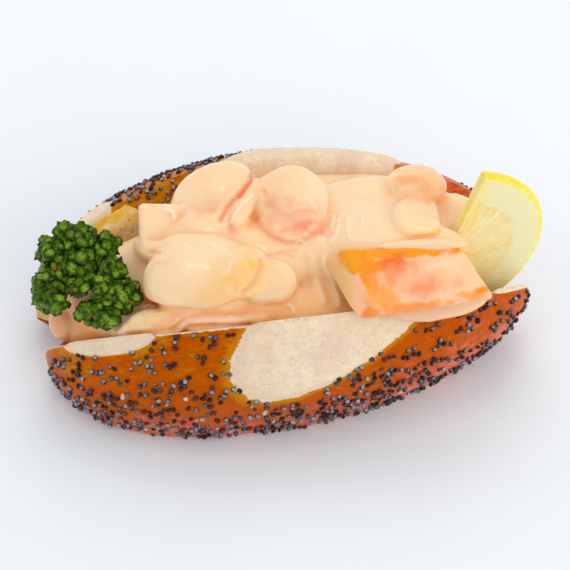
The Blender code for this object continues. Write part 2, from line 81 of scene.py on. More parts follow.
class Piece:
    """A mesh object on the bench, with the operators that shape it."""

    def __init__(self, name: str) -> None:
        """Takes the active object, which a primitive operator has just made, and names it.

        Args:
            name: The piece's name.
        """
        self.object: bpy.types.Object = bpy.context.view_layer.objects.active
        self.object.name = name
        self.object.data.name = name

    @staticmethod
    def clear() -> None:
        """Leaves edit mode and deselects everything."""
        if bpy.context.mode != "OBJECT":
            bpy.ops.object.mode_set(mode="OBJECT")
        bpy.ops.object.select_all(action="DESELECT")

    @classmethod
    def grid(cls, name: str, columns: int, rows: int) -> "Piece":
        """Adds a flat grid from 0 to 1 along X and Y.

        Args:
            name: The piece's name.
            columns: Vertices along X.
            rows: Vertices along Y.

        Returns:
            The new piece.
        """
        cls.clear()
        bpy.ops.mesh.primitive_grid_add(
            x_subdivisions=columns - 1, y_subdivisions=rows - 1, size=1, location=(0.5, 0.5, 0)
        )
        bpy.ops.object.transform_apply(location=True, rotation=False, scale=False)
        return cls(name)

    @classmethod
    def egg(cls, name: str, middle: Triple, reach: Triple, turn: Triple = (0, 0, 0)) -> "Piece":
        """Adds an egg-shaped lump.

        Args:
            name: The piece's name.
            middle: Its middle in millimetres.
            reach: Its half sizes in millimetres.
            turn: Its turn about X, Y and Z in degrees.

        Returns:
            The new piece.
        """
        cls.clear()
        bpy.ops.mesh.primitive_uv_sphere_add(segments=32, ring_count=16, radius=1)
        piece = cls(name)
        piece.settle(middle, reach, turn)
        return piece

    @classmethod
    def block(cls, name: str, middle: Triple, reach: Triple, turn: Triple, rounding: float) -> "Piece":
        """Adds a block with rounded edges.

        Args:
            name: The piece's name.
            middle: Its middle in millimetres.
            reach: Its half sizes in millimetres.
            turn: Its turn about X, Y and Z in degrees.
            rounding: How much of the half sizes the edges' rounding takes.

        Returns:
            The new piece.
        """
        cls.clear()
        bpy.ops.mesh.primitive_cube_add(size=2)
        piece = cls(name)
        bpy.ops.object.mode_set(mode="EDIT")
        bpy.ops.mesh.select_all(action="SELECT")
        bpy.ops.mesh.bevel(offset=rounding, segments=4, affect="EDGES")
        bpy.ops.object.mode_set(mode="OBJECT")
        piece.settle(middle, reach, turn)
        return piece

    def settle(self, middle: Triple, reach: Triple, turn: Triple) -> None:
        """Scales, turns and moves the piece, and writes that into its mesh.

        Args:
            middle: Where its origin goes, in millimetres.
            reach: Its scale in millimetres.
            turn: Its turn about X, Y and Z in degrees.
        """
        self.alone()
        self.object.scale = [size * MM for size in reach]
        self.object.rotation_euler = [math.radians(angle) for angle in turn]
        self.object.location = [place * MM for place in middle]
        bpy.ops.object.transform_apply(location=True, rotation=True, scale=True)

    def alone(self) -> None:
        """Selects this piece and nothing else."""
        self.clear()
        self.object.select_set(True)
        bpy.context.view_layer.objects.active = self.object

    def edit(self, *steps: Callable[[], Any]) -> None:
        """Runs edit-mode operators on the whole mesh.

        Args:
            steps: What to call in edit mode, each with everything selected.
        """
        self.alone()
        bpy.ops.object.mode_set(mode="EDIT")
        for step in steps:
            bpy.ops.mesh.select_all(action="SELECT")
            step()
        bpy.ops.object.mode_set(mode="OBJECT")

    def apply(self, kind: str, **settings: Any) -> None:
        """Adds a modifier and applies it.

        Args:
            kind: The modifier's type.
            settings: Its values.
        """
        self.alone()
        modifier = self.object.modifiers.new(kind.lower(), kind)
        for key, value in settings.items():
            setattr(modifier, key, value)
        bpy.ops.object.modifier_apply(modifier=modifier.name)

    def join(self, others: Iterable["Piece"]) -> None:
        """Takes other pieces' meshes into this one.

        Args:
            others: The pieces to take in.
        """
        self.alone()
        for other in others:
            other.object.select_set(True)
        bpy.ops.object.join()

    def seal(self, gap: float) -> None:
        """Merges doubles, fills open ends and turns the faces outwards.

        Args:
            gap: How close doubles are, in metres.
        """
        self.edit(
            lambda: bpy.ops.mesh.remove_doubles(threshold=gap),
            self.fill_ends,
            lambda: bpy.ops.mesh.normals_make_consistent(inside=False),
        )

    @staticmethod
    def fill_ends() -> None:
        """Fills the openings of the mesh in edit mode."""
        bpy.ops.mesh.select_all(action="DESELECT")
        bpy.ops.mesh.select_mode(type="EDGE")
        bpy.ops.mesh.select_non_manifold(extend=False)
        bpy.ops.mesh.fill(use_beauty=True)
        bpy.ops.mesh.select_mode(type="VERT")

    def list_vertices(self, what: str) -> Array:
        """Three numbers of each vertex, one vertex per row.

        Args:
            what: Which numbers, co or normal.

        Returns:
            The numbers.
        """
        flat = np.empty(len(self.object.data.vertices) * 3)
        self.object.data.vertices.foreach_get(what, flat)
        return flat.reshape(-1, 3)

    def points(self) -> Array:
        """The places of its vertices, one per row."""
        return self.list_vertices("co")

    def normals(self) -> Array:
        """The outward direction at each vertex, one per row."""
        return self.list_vertices("normal")

    def faces(self) -> Array:
        """The vertex numbers of its faces, one per row, where all have as many corners."""
        return np.array([polygon.vertices[:] for polygon in self.object.data.polygons])

    def move(self, points: Array) -> None:
        """Puts its vertices in new places, one per row."""
        self.object.data.vertices.foreach_set("co", np.ascontiguousarray(points, dtype=float).ravel())
        self.object.data.update()

    def swell(self, heights: Array) -> None:
        """Moves each vertex along its normal by a height in metres."""
        self.move(self.points() + self.normals() * heights[:, None])

    def repeat(self, copies: list[Array], faces: Array) -> None:
        """Makes the mesh many copies of one shape.

        Args:
            copies: The vertices of each copy.
            faces: The faces of one copy.
        """
        mesh = self.object.data
        every = np.concatenate([faces + len(copies[0]) * k for k in range(len(copies))])
        mesh.clear_geometry()
        mesh.from_pydata(np.concatenate(copies).tolist(), [], every.tolist())
        mesh.update()

    def mark(self, name: str, values: Array) -> None:
        """Stores a value or a colour at each vertex, for its finish to read.

        Args:
            name: The attribute's name.
            values: One number, or three, per vertex.
        """
        mesh = self.object.data
        if values.ndim == 1:
            layer = mesh.attributes.new(name, "FLOAT", "POINT")
            layer.data.foreach_set("value", np.ascontiguousarray(values, dtype=float))
        else:
            layer = mesh.attributes.new(name, "FLOAT_COLOR", "POINT")
            four = np.ones((len(values), 4))
            four[:, :3] = values
            layer.data.foreach_set("color", four.ravel())

    def smooth(self, angle: float = 180.0) -> None:
        """Shades the piece smooth, but for edges sharper than an angle.

        Args:
            angle: The angle in degrees.
        """
        self.alone()
        if angle >= 180:
            bpy.ops.object.shade_smooth()
        else:
            bpy.ops.object.shade_smooth_by_angle(angle=math.radians(angle))

    def hand_in(self, material: bpy.types.Material, node: str) -> None:
        """Dresses the finished piece and sets it in the place of a solid.

        Args:
            material: Its finish.
            node: The solid that it stands for.
        """
        self.object.data.materials.clear()
        self.object.data.materials.append(material)
        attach(self.object, "root")
        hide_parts(node)
        LOG.info("%s: %d faces", self.object.name, len(self.object.data.polygons))


class Covers:
    """Pieces that scattered things keep clear of."""

    def __init__(self, pieces: Iterable[Piece]) -> None:
        """Takes the pieces' surfaces as they are now.

        Args:
            pieces: The pieces.
        """
        meshes = [piece.object.data for piece in pieces]
        self.trees = [
            BVHTree.FromPolygons([v.co for v in mesh.vertices], [p.vertices for p in mesh.polygons])
            for mesh in meshes
        ]

    def near(self, place: Vector, gap: float) -> bool:
        """Whether a place is closer to them than a gap in metres."""
        return any(tree.find_nearest(place)[3] < gap for tree in self.trees)


class Graph:
    """The shader nodes of one material."""

    def __init__(self, name: str) -> None:
        """Starts a material with a plain shader.

        Args:
            name: The material's name.
        """
        self.material = bpy.data.materials.new(name)
        self.material.use_nodes = True
        self.tree = self.material.node_tree
        self.shader = self.tree.nodes["Principled BSDF"]

    def node(self, kind: str, inputs: dict[Any, Any] | None = None, **settings: Any) -> bpy.types.Node:
        """Adds a node.

        Args:
            kind: Its type without the prefix.
            inputs: Values or sockets for its inputs, by name or number.
            settings: Its own properties.

        Returns:
            The node.
        """
        made = self.tree.nodes.new("ShaderNode" + kind)
        for key, value in settings.items():
            setattr(made, key, value)
        for key, value in (inputs or {}).items():
            self.plug(made.inputs[key], value)
        return made

    def plug(self, socket: Socket, value: Any) -> None:
        """Links a socket, or sets its value.

        Args:
            socket: The input.
            value: Another node's output, a number, or a colour.
        """
        if isinstance(value, Socket):
            self.tree.links.new(value, socket)
        elif isinstance(value, (tuple, list)) and len(value) == 3 and len(socket.default_value) == 4:
            socket.default_value = (*value, 1.0)
        else:
            socket.default_value = value

    def set(self, **values: Any) -> None:
        """Sets or links the shader's own sockets, named with underscores for spaces."""
        for key, value in values.items():
            self.plug(self.shader.inputs[key.replace("_", " ")], value)

    def place(self) -> Socket:
        """Places on the piece, in metres."""
        return self.node("TexCoord").outputs["Object"]

    def read(self, name: str, output: str = "Fac") -> Socket:
        """Reads a stored value, or a stored colour from the output Color."""
        return self.node("Attribute", attribute_name=name).outputs[output]

    def stretch(self, scale: Triple, turn: Triple = (0, 0, 0)) -> Socket:
        """Places on the piece, turned and then stretched.

        Args:
            scale: How much each axis is multiplied.
            turn: The turn in degrees.

        Returns:
            The stretched places.
        """
        radians = tuple(math.radians(angle) for angle in turn)
        inputs = {"Vector": self.place(), "Rotation": radians, "Scale": scale}
        return self.node("Mapping", inputs).outputs["Vector"]

    def noise(self, size: float, detail: float = 2, vector: Any = None, rough: float = 0.5) -> Socket:
        """Cloudy noise from 0 to 1, in clouds of a size in millimetres with so many finer layers."""
        scale = 1 / (size * MM)
        inputs = {"Vector": vector or self.place(), "Scale": scale, "Detail": detail, "Roughness": rough}
        return self.node("TexNoise", inputs).outputs["Fac"]

    def cells(self, size: float, vector: Any = None, feature: str = "F1") -> Socket:
        """Distance to the nearest of many scattered points, whose spacing is in millimetres."""
        inputs = {"Vector": vector or self.place(), "Scale": 1 / (size * MM)}
        return self.node("TexVoronoi", inputs, feature=feature).outputs["Distance"]

    def sum(self, first: Any, second: Any, operation: str = "ADD", clamp: bool = False) -> Socket:
        """Works out one number from two, and may keep it from 0 to 1."""
        return self.node("Math", {0: first, 1: second}, operation=operation, use_clamp=clamp).outputs[0]

    def times(self, first: Any, second: Any) -> Socket:
        """Multiplies two numbers."""
        return self.sum(first, second, "MULTIPLY")

    def span(self, value: Any, low: float, high: float, to_low: float = 0, to_high: float = 1) -> Socket:
        """Turns the range of a value from low to high into another, smoothly."""
        inputs = {"Value": value, "From Min": low, "From Max": high, "To Min": to_low, "To Max": to_high}
        return self.node("MapRange", inputs, interpolation_type="SMOOTHSTEP").outputs[0]

    def sway(self, size: float, detail: float, reach: float) -> Socket:
        """Noise from -reach to reach."""
        return self.span(self.noise(size, detail), 0.3, 0.7, -reach, reach)

    def mottle(
        self, under: Any, colour: Any, size: float, detail: float, ends: tuple[float, float],
        most: float = 1, vector: Any = None,
    ) -> Socket:
        """Lays cloudy patches of a colour over another.

        Args:
            under: The colour below.
            colour: The patches' colour.
            size: The size of one cloud, in millimetres.
            detail: How many finer layers it has.
            ends: The noise where a patch begins, and where it is full.
            most: How strong it is where it is full.
            vector: Where to read it, or None for the piece's own places.

        Returns:
            The mixed colour.
        """
        return self.blend(self.span(self.noise(size, detail, vector), *ends, 0, most), under, colour)

    def blend(self, share: Any, first: Any, second: Any, how: str = "MIX") -> Socket:
        """Mixes two colours, each a colour or an output.

        Args:
            share: How much of the second.
            first: One colour.
            second: The other.
            how: The way of mixing.

        Returns:
            The mixed colour.
        """
        made = self.node("Mix", data_type="RGBA", blend_type=how)
        self.plug(made.inputs[0], share)
        self.plug(made.inputs[6], first)
        self.plug(made.inputs[7], second)
        return made.outputs[2]

    def ramp(self, value: Any, stops: Sequence[tuple[float, Colour]]) -> Socket:
        """Runs through a row of colours.

        Args:
            value: Where along the row, from 0 to 1.
            stops: Each colour and its place.

        Returns:
            The colour.
        """
        made = self.node("ValToRGB", {"Fac": value})
        bar = made.color_ramp
        while len(bar.elements) < len(stops):
            bar.elements.new(0.5)
        for element, (place, colour) in zip(bar.elements, stops):
            element.position = place
            element.color = (*colour, 1.0)
        return made.outputs["Color"]

    def bump(self, height: Any, depth: float, strength: float) -> Socket:
        """Makes relief of a depth in millimetres from a height from 0 to 1."""
        inputs = {"Height": height, "Distance": depth * MM, "Strength": strength}
        return self.node("Bump", inputs).outputs["Normal"]


# ---------------------------------------------------------------------------------------------
# The roll
# ---------------------------------------------------------------------------------------------


class Side(Enum):
    """Which half of the split roll."""

    NEAR = -1
    FAR = 1


@dataclass(frozen=True)
class Lean:
    """How one half of the roll has been spread open.

    The lean is in degrees at the middle, with the share of it that is left at the ends. The half moved
    out by so many millimetres at the middle and at the -X and +X tips, and slid along X.
    """

    degrees: float
    end_share: float
    out: float
    tip_low: float
    tip_high: float
    slide: float


@dataclass(frozen=True)
class Slash:
    """A baker's cut that opened in the oven: an oval on the whole roll's crust, in millimetres."""

    along: float
    around: float
    length: float
    width: float
    turn: float


@dataclass(frozen=True)
class RollShape:
    """The form of the split roll, in millimetres."""

    half_length: float = 71
    half_width: float = 28.5
    height: float = 48
    belly: float = 18.5
    tip_low: float = 12
    tip_high: float = 19.5
    plan_low: float = 2.67
    plan_high: float = 1.7
    rise_low: float = 1.8
    rise_high: float = 1.82
    taper: float = 0.1
    hinge: float = 5
    web: float = 3
    flat: float = 1
    soft: float = 6
    arc: float = 30
    round_out: float = 0.92
    round_up: float = 0.95
    round_down: float = 0.6
    held: tuple[float, float] = (0.62, 0.97)
    open_ends: tuple[float, float] = (0.90, 0.985)
    slash_power: float = 2.3
    slash_rise: float = 0.9
    leans: dict[Side, Lean] = field(
        default_factory=lambda: {
            Side.NEAR: Lean(35.6, 0.89, 5, 4.7, 2.5, -0.5),
            Side.FAR: Lean(29.8, 0.47, 9.3, 5.4, 7.5, -2.7),
        }
    )
    slashes: dict[Side, tuple[Slash, ...]] = field(
        default_factory=lambda: {
            Side.NEAR: (
                Slash(9.7, -1.7, 32.4, 15.5, 30),
                Slash(-51.5, 0.6, 13.0, 5.6, 6),
                Slash(63.5, -0.2, 6.5, 1.9, 0),
            ),
            Side.FAR: (Slash(11.5, -1.5, 34, 16, 28), Slash(-57.5, 3.6, 13, 10, 12)),
        }
    )

    def profile(self, t: Array) -> tuple[Array, Array, Array, Array]:
        """The whole roll's section.

        Args:
            t: Places along the roll, from -1 to 1.

        Returns:
            Half width, height of the middle, height above it and depth below it.
        """
        low = t < 0
        size = np.abs(t)
        across = np.sqrt(1 - size ** np.where(low, self.plan_low, self.plan_high)) * (1 - self.taper * t)
        rise = np.sqrt(1 - size ** np.where(low, self.rise_low, self.rise_high))
        tip = np.where(low, self.tip_low, self.tip_high)
        middle = tip + (self.belly - tip) * rise
        return self.half_width * across, middle, (self.height - self.belly) * rise, middle * rise**0.5

    def opened(self, t: Array) -> Array:
        """0 where the base joins the halves, and 1 past the bread's ends."""
        return smooth_step(*self.open_ends, np.abs(t))

    def cut_length(self, t: Array) -> Array:
        """About how far the cut face runs down from the crust, in millimetres."""
        return self.profile(t)[2] + 12

    def spread(self, side: Side, t: Array, out: Array, up: Array, hold: Array) -> Array:
        """Leans a half of the whole roll out to where it is now.

        Args:
            side: Which half.
            t: Places along the roll, from -1 to 1.
            out: Distance from the split, in millimetres.
            up: Height, in millimetres.
            hold: 0 where the base holds the bread, 1 where it is free to lean.

        Returns:
            Places in metres, one per row.
        """
        lean = self.leans[side]
        size = np.abs(t)
        angle = np.radians(lean.degrees * (lean.end_share + (1 - lean.end_share) * (1 - size**2.2))) * hold
        tip = np.where(t < 0, lean.tip_low, lean.tip_high)
        moved = (lean.out + (tip - lean.out) * size**3) * hold
        above = up - self.hinge
        y = moved + above * np.sin(angle) + out * np.cos(angle)
        z = self.hinge + above * np.cos(angle) - out * np.sin(angle)
        share = np.clip((z - self.flat) / (self.soft - self.flat), 0, 1)
        slope = (self.soft - self.flat) / self.soft
        z = np.where(z > self.soft, z, self.soft * ((3 - slope) * share**2 + (slope - 2) * share**3))
        x = t * self.half_length + lean.slide * hold
        return np.stack([x, side.value * y, z], axis=-1) * MM

    def slash_depth(self, side: Side, t: Array, phi: Array) -> Array:
        """How far inside a slash the crust is.

        Args:
            side: Which half.
            t: Places along the roll, from -1 to 1.
            phi: Angles round the section.

        Returns:
            1 in a slash's middle, 0 at its rim and below 0 outside, for each place.
        """
        deepest = np.full(np.shape(t), -10.0)
        for slash in self.slashes[side]:
            along = t * self.half_length - slash.along
            around = side.value * phi * self.arc - slash.around
            turn = math.radians(slash.turn)
            u = (along * math.cos(turn) + around * math.sin(turn)) / slash.length
            v = (around * math.cos(turn) - along * math.sin(turn)) / slash.width
            deepest = np.maximum(deepest, 1 - (np.abs(u) ** self.slash_power + np.abs(v) ** self.slash_power))
        return deepest

    def crust(self, side: Side, t: Array, phi: Array, lift: Any = 0.0) -> Array:
        """Places on the crust.

        Args:
            side: Which half.
            t: Places along the roll, from -1 to 1.
            phi: Angles round the section, 0 at the split and pi under the roll.
            lift: Height above the crust, in millimetres.

        Returns:
            Places in metres, one per row.
        """
        width, middle, above, below = self.profile(t)
        s, c = np.sin(phi), np.cos(phi)
        out = width * np.maximum(s, 0) ** self.round_out + lift * s
        rise = np.where(c > 0, above * np.abs(c) ** self.round_up, -below * np.abs(c) ** self.round_down)
        up = middle + rise + lift * c
        hold = 1 - smooth_step(self.held[0] * math.pi, self.held[1] * math.pi, phi) * (1 - self.opened(t))
        return self.spread(side, t, out, up, hold)

    def cut(self, side: Side, t: Array, share: Array) -> Array:
        """Places on the cut face.

        Args:
            side: Which half.
            t: Places along the roll, from -1 to 1.
            share: 0 at the foot of the cut, 1 at its edge on the crust.

        Returns:
            Places in metres, one per row.
        """
        _, middle, above, below = self.profile(t)
        rise = above / (self.height - self.belly)
        foot = np.maximum(self.hinge, middle - below + self.web * rise)
        opened = self.opened(t)
        foot = np.where(opened > 0, np.maximum(middle - below * (1 - 0.2 * opened), foot * 0), foot)
        up = foot + (middle + above - foot) * share
        return self.spread(side, t, np.zeros_like(up), up, np.ones_like(up))


@dataclass(frozen=True)
class CrustFinish:
    """Glossy lye-dipped crust with pale slashes, and the crumb of the cut faces."""

    mustard: Colour = (0.56, 0.21, 0.004)
    amber: Colour = (0.50, 0.090, 0.0)
    brown: Colour = (0.48, 0.068, 0.001)
    red_brown: Colour = (0.63, 0.098, 0.032)
    # Painted sheen: the pinkish reflection low on the crust.
    painted_sheen: Colour = (0.74, 0.25, 0.17)
    crumb: Colour = (0.82, 0.63, 0.42)
    crumb_pale: Colour = (0.86, 0.71, 0.52)
    crumb_pink: Colour = (0.76, 0.55, 0.43)
    crumb_dull: Colour = (0.77, 0.56, 0.38)
    crumb_light: Colour = (0.93, 0.82, 0.66)
    yellow: tuple[Colour, Colour] = ((1.0, 0.70, 0.26), (1.0, 0.86, 0.58))

    def make(self) -> bpy.types.Material:
        """Builds the finish.

        Returns:
            The material. It reads the bread's marks: slash, bake, edge (millimetres from the cut), stain
            (where the cut is mustard) and pale (where it is as pale as a slash).
        """
        g = Graph("baked_bread")
        slash = g.sum(g.sum(g.read("slash"), g.sway(5, 3, 0.05)), g.sway(0.7, 4, 0.022))
        edge = g.sum(g.read("edge"), g.span(g.noise(1.6, 3), 0.3, 0.7, -0.10, 0.12))
        bake = g.sum(g.read("bake"), g.sway(9, 4, 0.12))
        streak = g.noise(1.0, 3, g.stretch((0.22, 1, 1), (0, 0, -12)))
        bake = g.sum(bake, g.span(streak, 0.35, 0.65, -0.09, 0.09))
        shine = g.noise(1.1, 3, g.stretch((0.16, 1, 1), (0, 0, 24)), 0.65)
        drawn = g.stretch((0.8, 1, 1.2), (0, 0, -12))
        pit = g.sum(g.span(g.cells(0.8, drawn), 0.08, 0.36), g.span(g.noise(1.9, 2), 0.45, 0.62), "MAXIMUM")
        soft = self.slash_crumb(g, slash, pit, drawn)
        on_slash = g.span(slash, -0.05, 0.01)
        in_cut = g.span(edge, 0.15, -0.05)
        outside = g.blend(on_slash, self.skin(g, slash, bake, shine), soft)
        open_crumb = g.sum(on_slash, in_cut, "MAXIMUM")
        warm = g.blend(g.span(bake, 0.4, 0.9), (1.0, 0.40, 0.0), (1.0, 0.6, 0.35))
        wrinkle = g.sum(g.times(shine, 0.8), g.times(g.noise(0.8, 3), 0.3))
        crumbly = g.sum(g.times(pit, 0.5), g.times(g.noise(0.7, 3), 0.5))
        mixed = g.node("Mix", data_type="VECTOR")
        g.plug(mixed.inputs[0], open_crumb)
        g.plug(mixed.inputs[4], g.bump(wrinkle, 0.38, 0.7))
        g.plug(mixed.inputs[5], g.bump(crumbly, 0.4, 0.45))
        g.set(
            Base_Color=g.blend(in_cut, outside, self.cut_crumb(g, soft)),
            Roughness=g.span(open_crumb, 0.0, 1.0, 0.36, 0.80),
            Specular_IOR_Level=0.30,
            Specular_Tint=g.blend(open_crumb, warm, (1.0, 0.9, 0.8)),
            Normal=mixed.outputs[1],
        )
        return g.material

    def skin(self, g: Graph, slash: Any, bake: Any, shine: Any) -> Socket:
        """Colours the crust, with a painted sheen in streaks over its darker, lower parts.

        Args:
            g: The material's nodes.
            slash: How far inside a slash it is.
            bake: How darkly it is baked.
            shine: Fine streaks along it, which also place the painted sheen.

        Returns:
            The colour.
        """
        stops = [(0.0, self.mustard), (0.22, self.amber), (0.55, self.brown), (0.85, self.red_brown)]
        skin = g.blend(g.span(g.cells(1.7), 0.0, 0.16, 0.5, 0.0), g.ramp(bake, stops), (0.72, 0.36, 0.06))
        # Painted sheen: a pinkish reflection in streaks over the darker, lower crust.
        low = g.times(g.span(bake, 0.55, 0.95), g.span(shine, 0.40, 0.62, 0.12, 0.62))
        skin = g.blend(low, skin, self.painted_sheen)
        skin = g.blend(g.span(shine, 0.46, 0.36, 0.0, 0.30), skin, (0.22, 0.018, 0.002))
        skin = g.blend(g.times(g.span(slash, -0.34, -0.08), 0.9), skin, self.mustard)
        return g.mottle(skin, (0.62, 0.22, 0.02), 0.45, 2, (0.60, 0.72), 0.35)

    def slash_crumb(self, g: Graph, slash: Any, pit: Any, drawn: Any) -> Socket:
        """Colours the pale crumb of the open slashes.

        Args:
            g: The material's nodes.
            slash: How far inside a slash it is.
            pit: 0 in its pores.
            drawn: Places on the piece, drawn out along the roll.

        Returns:
            The colour.
        """
        soft = g.mottle(self.crumb, self.crumb_pale, 6, 3, (0.35, 0.68))
        soft = g.mottle(soft, self.crumb_pink, 11, 1, (0.52, 0.72), 0.7)
        soft = g.mottle(soft, self.crumb_dull, 2.4, 4, (0.48, 0.64), 0.6, drawn)
        soft = g.mottle(soft, self.crumb_light, 1.4, 4, (0.60, 0.72), 0.6, drawn)
        soft = g.blend(g.sum(1.0, pit, "SUBTRACT"), soft, (0.77, 0.55, 0.36))
        soft = g.mottle(soft, (0.72, 0.50, 0.34), 0.5, 2, (0.50, 0.72), 0.4, drawn)
        soft = g.mottle(soft, (0.50, 0.42, 0.30), 4.2, 2, (0.66, 0.76), 0.45)
        rosy = g.times(g.span(slash, 0.0, 0.06), g.span(slash, 0.34, 0.14))
        return g.blend(g.times(rosy, 0.45), soft, (0.80, 0.53, 0.40))

    def cut_crumb(self, g: Graph, soft: Any) -> Socket:
        """Colours the crumb of the cut faces: yellow and open, or as pale as a slash.

        Args:
            g: The material's nodes.
            soft: The slashes' colour.

        Returns:
            The colour.
        """
        inner = g.mottle(*self.yellow, 2.6, 4, (0.35, 0.65))
        inner = g.blend(g.times(g.span(g.cells(2.2), 0.34, 0.14), 0.8), inner, (0.70, 0.38, 0.08))
        stain = g.sum(g.read("stain"), g.span(g.noise(2.4, 3), 0.35, 0.65, -0.4, 0.4), clamp=True)
        inner = g.blend(g.times(stain, 0.85), inner, (0.90, 0.56, 0.03))
        return g.blend(g.read("pale"), inner, g.mottle(soft, (0.70, 0.44, 0.22), 1.3, 3, (0.48, 0.62), 0.55))


@dataclass
class Bread:
    """The two halves of the roll, still joined at the base."""

    shape: RollShape
    stations: int = 190
    crust_steps: int = 110
    cut_steps: int = 42
    reach: float = 0.996
    rim: tuple[float, float] = (0.0, 0.3)

    def half(self, side: Side) -> Piece:
        """Models one half from a grid wrapped round its section.

        Args:
            side: Which half.

        Returns:
            The closed half with its marks.
        """
        shape = self.shape
        rows = self.crust_steps + self.cut_steps
        piece = Piece.grid("bread_" + side.name.lower(), self.stations, rows)
        at = piece.points()
        t = np.sin(math.pi * (at[:, 0] - 0.5)) * self.reach
        row = np.rint(at[:, 1] * (rows - 1))
        on_crust = row <= self.crust_steps
        phi = np.clip(row / self.crust_steps, 0, 1) * math.pi
        share = np.clip((row - self.crust_steps - 1) / (rows - 2 - self.crust_steps), 0, 1) ** 0.8
        below_edge = (1 - share) * shape.cut_length(t)
        around = np.where(on_crust, phi, -below_edge / shape.arc)
        depth = shape.slash_depth(side, t, around)
        band = self.fold_over(side, t)
        plain = shape.crust(side, t, phi)
        lift = shape.slash_rise * smooth_step(*self.rim, depth) * (1 + 0.25 * waves(plain, 3.2 * MM, 1.0))
        crust = shape.crust(side, t, phi, lift + 0.25 * waves(plain, 14 * MM, 2.0))
        crust[:, 1] -= np.where(row == self.crust_steps, side.value * 0.8 * MM * (1 - shape.opened(t)), 0)
        cut = shape.cut(side, t, share)
        rim = smooth_step(*self.rim, shape.slash_depth(side, t, np.zeros(len(t))))
        cut[:, 2] += shape.slash_rise * rim * smooth_step(5.0, 0.0, below_edge) ** 2 * MM
        crumb = np.where(on_crust, 0.0, smooth_step(band - 0.6, band + 0.6, below_edge))
        bulge = (waves(cut, 4 * MM, 3.0) * 0.45 + waves(cut, 1.6 * MM, 4.0) * 0.30) * crumb - 0.5 * crumb
        bulge = bulge * smooth_step(1.0, 0.97, share) * smooth_step(0.0, 0.1, share)
        cut[:, 1] -= side.value * (bulge + self.shoulder(side, t, below_edge)) * MM
        piece.move(np.where(on_crust[:, None], crust, cut))
        past_edge = 0.3 if side is Side.FAR else -0.35
        piece.mark("slash", depth)
        piece.mark("edge", np.where(on_crust, phi * shape.arc + past_edge, band - below_edge))
        piece.mark("stain", smooth_step(band + 3.6, band + 0.6, below_edge) * (side is Side.FAR))
        piece.mark("pale", np.full(len(t), float(side is Side.NEAR)))
        piece.mark("bake", self.baking(side, t, np.maximum(around, 0)))
        piece.seal(0.02 * MM)
        piece.smooth(72)
        return piece

    @staticmethod
    def shoulder(side: Side, t: Array, below_edge: Array) -> Array:
        """How far the far half's cut face bulges towards the split below its edge.

        Args:
            side: Which half.
            t: Places along the roll, from -1 to 1.
            below_edge: Millimetres below the cut's edge.

        Returns:
            The bulge in millimetres.
        """
        if side is Side.NEAR:
            return np.zeros(np.shape(t))
        share = np.clip(below_edge / 11, 0, 1)
        return 3.0 * np.sin(math.pi * share**0.6) * smooth_step(0.95, 0.75, np.abs(t))

    @staticmethod
    def fold_over(side: Side, t: Array) -> Array:
        """How far the crust runs down over the cut face.

        Args:
            side: Which half.
            t: Places along the roll, from -1 to 1.

        Returns:
            The width of that band in millimetres.
        """
        if side is Side.NEAR:
            return np.full(np.shape(t), -0.35)
        return 0.6 + 9 * smooth_step(-0.58, -0.42, t)

    def baking(self, side: Side, t: Array, phi: Array) -> Array:
        """How darkly the crust is baked: 0 at mustard, 1 at red-brown.

        Args:
            side: Which half.
            t: Places along the roll, from -1 to 1.
            phi: Angles round the section.

        Returns:
            The baking at each place.
        """
        low = smooth_step(0.45, 1.75, phi)
        right = smooth_step(0.1, 0.8, t)
        if side is Side.NEAR:
            edge = 0.20 * smooth_step(0.02, 0.30, phi)
            tip = 0.10 * smooth_step(-0.70, -0.95, t)
            return np.clip(0.13 + edge + 0.56 * low + 0.24 * right - tip, 0, 1)
        return np.clip(0.10 + 0.45 * low + 0.60 * right, 0, 1)

    def build(self) -> list[Piece]:
        """Builds both halves.

        Returns:
            The two pieces.
        """
        finish = CrustFinish().make()
        halves = [self.half(side) for side in Side]
        for piece in halves:
            piece.hand_in(finish, "roll")
        return halves


@dataclass(frozen=True)
class SeedFinish:
    """Black to dark maroon poppy seeds with a few reddish and pale ones, painted lighter slate-blue on their
    tops as a highlight.
    """

    def make(self) -> bpy.types.Material:
        """Builds the finish.

        Returns:
            The material. It reads each seed's tone, from 0 to 1, and top, from -1 under it to 1 above.
        """
        g = Graph("poppy_seed")
        tones = [
            (0.0, (0.012, 0.002, 0.003)),
            (0.55, (0.020, 0.005, 0.008)),
            (0.80, (0.035, 0.012, 0.016)),
            (0.84, (0.060, 0.006, 0.008)),
            (0.965, (0.11, 0.015, 0.015)),
            (0.99, (0.50, 0.42, 0.33)),
        ]
        # Painted highlight: the colours of the seeds' upward-facing tops.
        painted_highlights = [
            (0.0, (0.016, 0.006, 0.009)),
            (0.16, (0.030, 0.024, 0.034)),
            (0.42, (0.18, 0.18, 0.205)),
            (0.80, (0.42, 0.43, 0.47)),
            (0.84, (0.05, 0.010, 0.014)),
            (0.965, (0.12, 0.03, 0.03)),
            (0.99, (0.62, 0.54, 0.43)),
        ]
        net = g.cells(0.22, feature="DISTANCE_TO_EDGE")
        # How far up the seed faces, which places the painted highlight.
        high = g.span(g.sum(g.read("top"), g.sway(0.5, 2, 0.35)), 0.30, 0.80)
        tone = g.read("tone")
        colour = g.blend(high, g.ramp(tone, tones), g.ramp(tone, painted_highlights))
        lit = g.blend(g.span(net, 0.0, 0.10, 0.10, 0.0), colour, (0.22, 0.20, 0.22))
        g.set(Base_Color=lit, Normal=g.bump(net, 0.05, 0.8), Roughness=0.42, Specular_IOR_Level=0.25)
        return g.material


